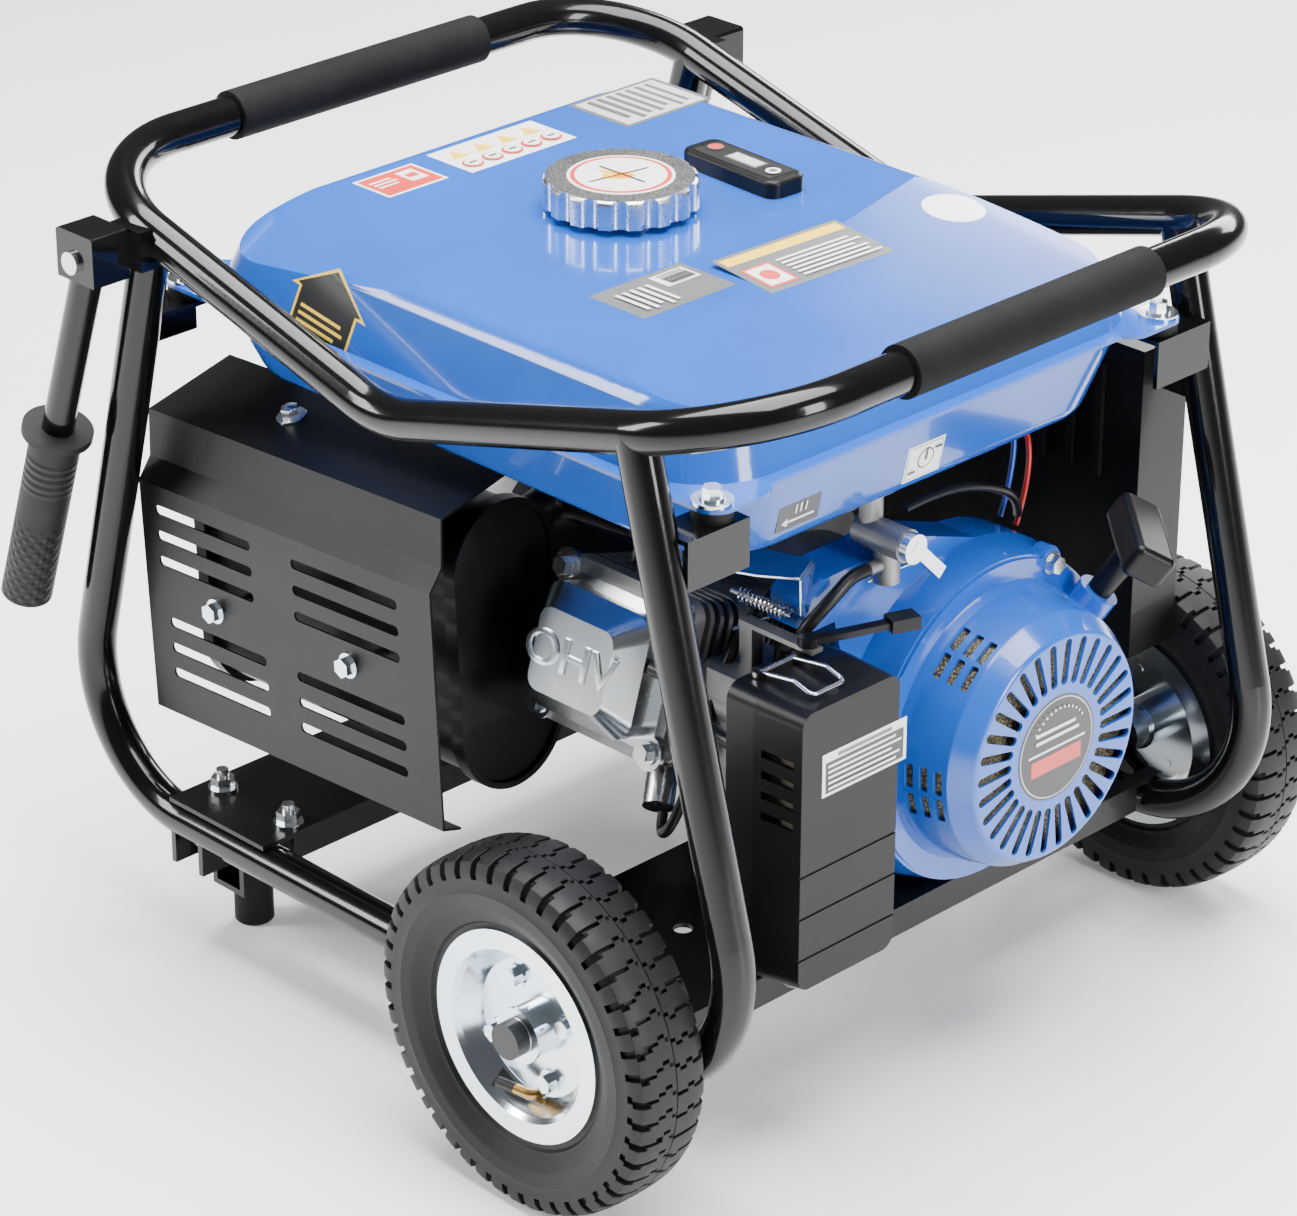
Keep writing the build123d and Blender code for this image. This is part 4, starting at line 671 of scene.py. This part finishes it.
addTube("governor_rod", [(0.156, -0.102, 0.297), (0.178, -0.064, 0.308), (0.198, -0.030, 0.320), (0.216, -0.002, 0.331)],
        0.0011, brightWire, "chassis")
addTube("governor_sleeve", [(0.192, -0.040, 0.3165), (0.198, -0.030, 0.320), (0.206, -0.017, 0.3252)], 0.0022,
        finishes["steel"], "chassis")

bm = bmesh.new()
spring = {"from": (0.156, -0.096, 0.318), "to": (0.186, -0.090, 0.314), "radius": 0.0042, "turns": 11}
start, stop = Vector(spring["from"]), Vector(spring["to"])
along = (stop - start).normalized()
side, over = along.orthogonal().normalized(), along.cross(along.orthogonal().normalized())
helix = []
for k in range(spring["turns"] * 8 + 1):
    a = k * math.pi / 4
    helix.append(start + (stop - start) * k / (spring["turns"] * 8) + side * math.cos(a) * spring["radius"]
                 + over * math.sin(a) * spring["radius"])
bm.free()
addTube("idle_spring", helix, 0.0007, brightWire, "chassis", resolution=2)
addTube("idle_screw", [start - along * 0.006, start + along * 0.01, stop + along * 0.004], 0.0019, finishes["steel"],
        "chassis")

bm = bmesh.new()
bracket = [(0.148, -0.112, 0.336), (0.150, -0.086, 0.342), (0.190, -0.072, 0.342), (0.196, -0.090, 0.338),
           (0.176, -0.104, 0.338)]
sheet = bm.faces.new([bm.verts.new(p) for p in bracket])
grown = bmesh.ops.extrude_face_region(bm, geom=[sheet])
bmesh.ops.translate(bm, vec=(0, 0, 0.0016), verts=[g for g in grown["geom"] if isinstance(g, bmesh.types.BMVert)])
tab = bm.faces.new([bm.verts.new(p) for p in ((0.190, -0.072, 0.342), (0.196, -0.090, 0.338), (0.197, -0.090, 0.316),
                                              (0.195, -0.080, 0.316))])
grown = bmesh.ops.extrude_face_region(bm, geom=[tab])
bmesh.ops.translate(bm, vec=(0.0014, 0, 0), verts=[g for g in grown["geom"] if isinstance(g, bmesh.types.BMVert)])
finishMesh(bm, "throttle_bracket", finishes["zinc"], "chassis", bevel=0.0003, weld=False)

place, facing = touch("heat_shield", (-0.155, -0.165, 0.5), (0, 0, -1))
addBolt("shield_top_bolt", place, facing)
exitPoint, pull = Vector((0.243, 0.121, 0.278)), Vector((0.45, 0.30, 0.84)).normalized()
rope = {"radius": 0.0021, "inside": 0.020, "into": 0.006, "steps": 60}
bm = bmesh.new()
bmesh.ops.create_circle(bm, segments=12, radius=rope["radius"], matrix=seatMatrix(exitPoint - pull * rope["inside"], pull, (1, 0, 0)))
ring = list(bm.edges)
for k in range(rope["steps"]):
    grown = bmesh.ops.extrude_edge_only(bm, edges=ring)
    fresh = [g for g in grown["geom"] if isinstance(g, bmesh.types.BMVert)]
    bmesh.ops.translate(bm, vec=pull * (rope["inside"] + rope["into"]) / rope["steps"], verts=fresh)
    ring = [g for g in grown["geom"] if isinstance(g, bmesh.types.BMEdge) and all(v in fresh for v in g.verts)]
ropeFinish = surface("starterRope", (0.02, 0.02, 0.022), 0.7, lift=0.4, grain=1600)
ropePiece = finishMesh(bm, "starter_rope", ropeFinish, None)
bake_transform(ropePiece)
print("leads, linkage and rope in place")

# ---------- control panel at the back

meter = {"at": (-0.040, 0.3425), "wide": 0.050, "high": 0.036}
place, facing = touch("sockets", (meter["at"][0], 0.4, meter["at"][1]), (0, -1, 0))
ticks = [math.radians(d) for d in range(40, 141, 10)]
addLabel("meter_face", seatMatrix(place, facing, (-1, 0, 0)), [
    ("bar", (0, 0, meter["wide"], meter["high"]), "black"), ("bar", (0, 0, meter["wide"] - 0.004, meter["high"] - 0.004), "white")]
    + [("disc", (0.021 * math.cos(a), 0.021 * math.sin(a) - 0.0115, 0.0007), "black") for a in ticks]
    + [("shape", [(-0.0008, -0.0115), (0.0008, -0.0115), (-0.0066, 0.0066), (-0.0072, 0.0062)], "red"),
       ("disc", (0, -0.0115, 0.0024), "black")], "chassis")
panelMarks = {"mark_socket_left": (0.020, 0.2235, 0.034), "mark_socket_right": (0.090, 0.2235, 0.034),
              "mark_breaker": (-0.040, 0.246, 0.018), "mark_posts": (-0.159, 0.322, 0.036), "mark_switch": (-0.120, 0.286, 0.022)}
for name, (x, z, wide) in panelMarks.items():
    place, facing = touch("control_face", (x, 0.4, z), (0, -1, 0))
    addLabel(name, seatMatrix(place, facing, (-1, 0, 0)), bars(0, 0, wide, 0.008, 2, "white"))
print("control panel marked")

# ---------- studio

studio = {"cameraAt": (1.798, -1.793, 1.471), "cameraTurn": (63.9, 0, 45.6), "lens": 127.65, "shift": (0.0148, -0.0071),
          "world": 0.13}
bm = bmesh.new()
bmesh.ops.create_grid(bm, x_segments=8, y_segments=8, size=6)
mesh = bpy.data.meshes.new("studioFloor")
bm.to_mesh(mesh)
bm.free()
floor = bpy.data.objects.new("studioFloor", mesh)
bpy.context.collection.objects.link(floor)
floorFinish = Finish("paleFloor")
shadeOfFloor = floorFinish.noise(3, 4)
floorFinish.shade(Base_Color=floorFinish.blend(shadeOfFloor, (0.93, 0.93, 0.93), (0.96, 0.96, 0.96)),
                  Roughness=floorFinish.step(shadeOfFloor, 0.3, 0.7, 0.42, 0.5), Emission_Color=(1, 1, 1), Emission_Strength=0.16)
mesh.materials.append(floorFinish.material)

world = bpy.data.worlds.new("studioWorld")
bpy.context.scene.world = world
world.use_nodes = True
world.node_tree.nodes["Background"].inputs[0].default_value = (1, 1, 1, 1)
world.node_tree.nodes["Background"].inputs[1].default_value = studio["world"]

lamps = {
    "overhead": {"at": (0.0, 0.1, 2.5), "aim": (0, 0, 0.3), "size": (2.6, 1.8), "power": 265},
    "keyLeft": {"at": (-2.0, -2.3, 1.9), "aim": (0, 0, 0.2), "size": (0.8, 1.8), "power": 110},
    "fillRight": {"at": (2.9, 0.1, 1.3), "aim": (0.1, 0, 0.25), "size": (0.7, 1.8), "power": 95},
    "rimBack": {"at": (-0.6, 2.8, 1.5), "aim": (0, 0, 0.4), "size": (2.4, 0.8), "power": 90},
}
for name, lamp in lamps.items():
    data = bpy.data.lights.new(name, "AREA")
    data.shape, data.size, data.size_y, data.energy = "RECTANGLE", *lamp["size"], lamp["power"]
    light = bpy.data.objects.new(name, data)
    bpy.context.collection.objects.link(light)
    light.location = lamp["at"]
    light.rotation_euler = (Vector(lamp["aim"]) - Vector(lamp["at"])).to_track_quat("-Z", "Y").to_euler()

lensData = bpy.data.cameras.new("mainCamera")
lensData.lens = studio["lens"]
lensData.sensor_width = 36
lensData.shift_x, lensData.shift_y = studio["shift"]
camera = bpy.data.objects.new("mainCamera", lensData)
bpy.context.collection.objects.link(camera)
camera.location = studio["cameraAt"]
camera.rotation_euler = [math.radians(a) for a in studio["cameraTurn"]]
bpy.context.scene.camera = camera
print("studio set")
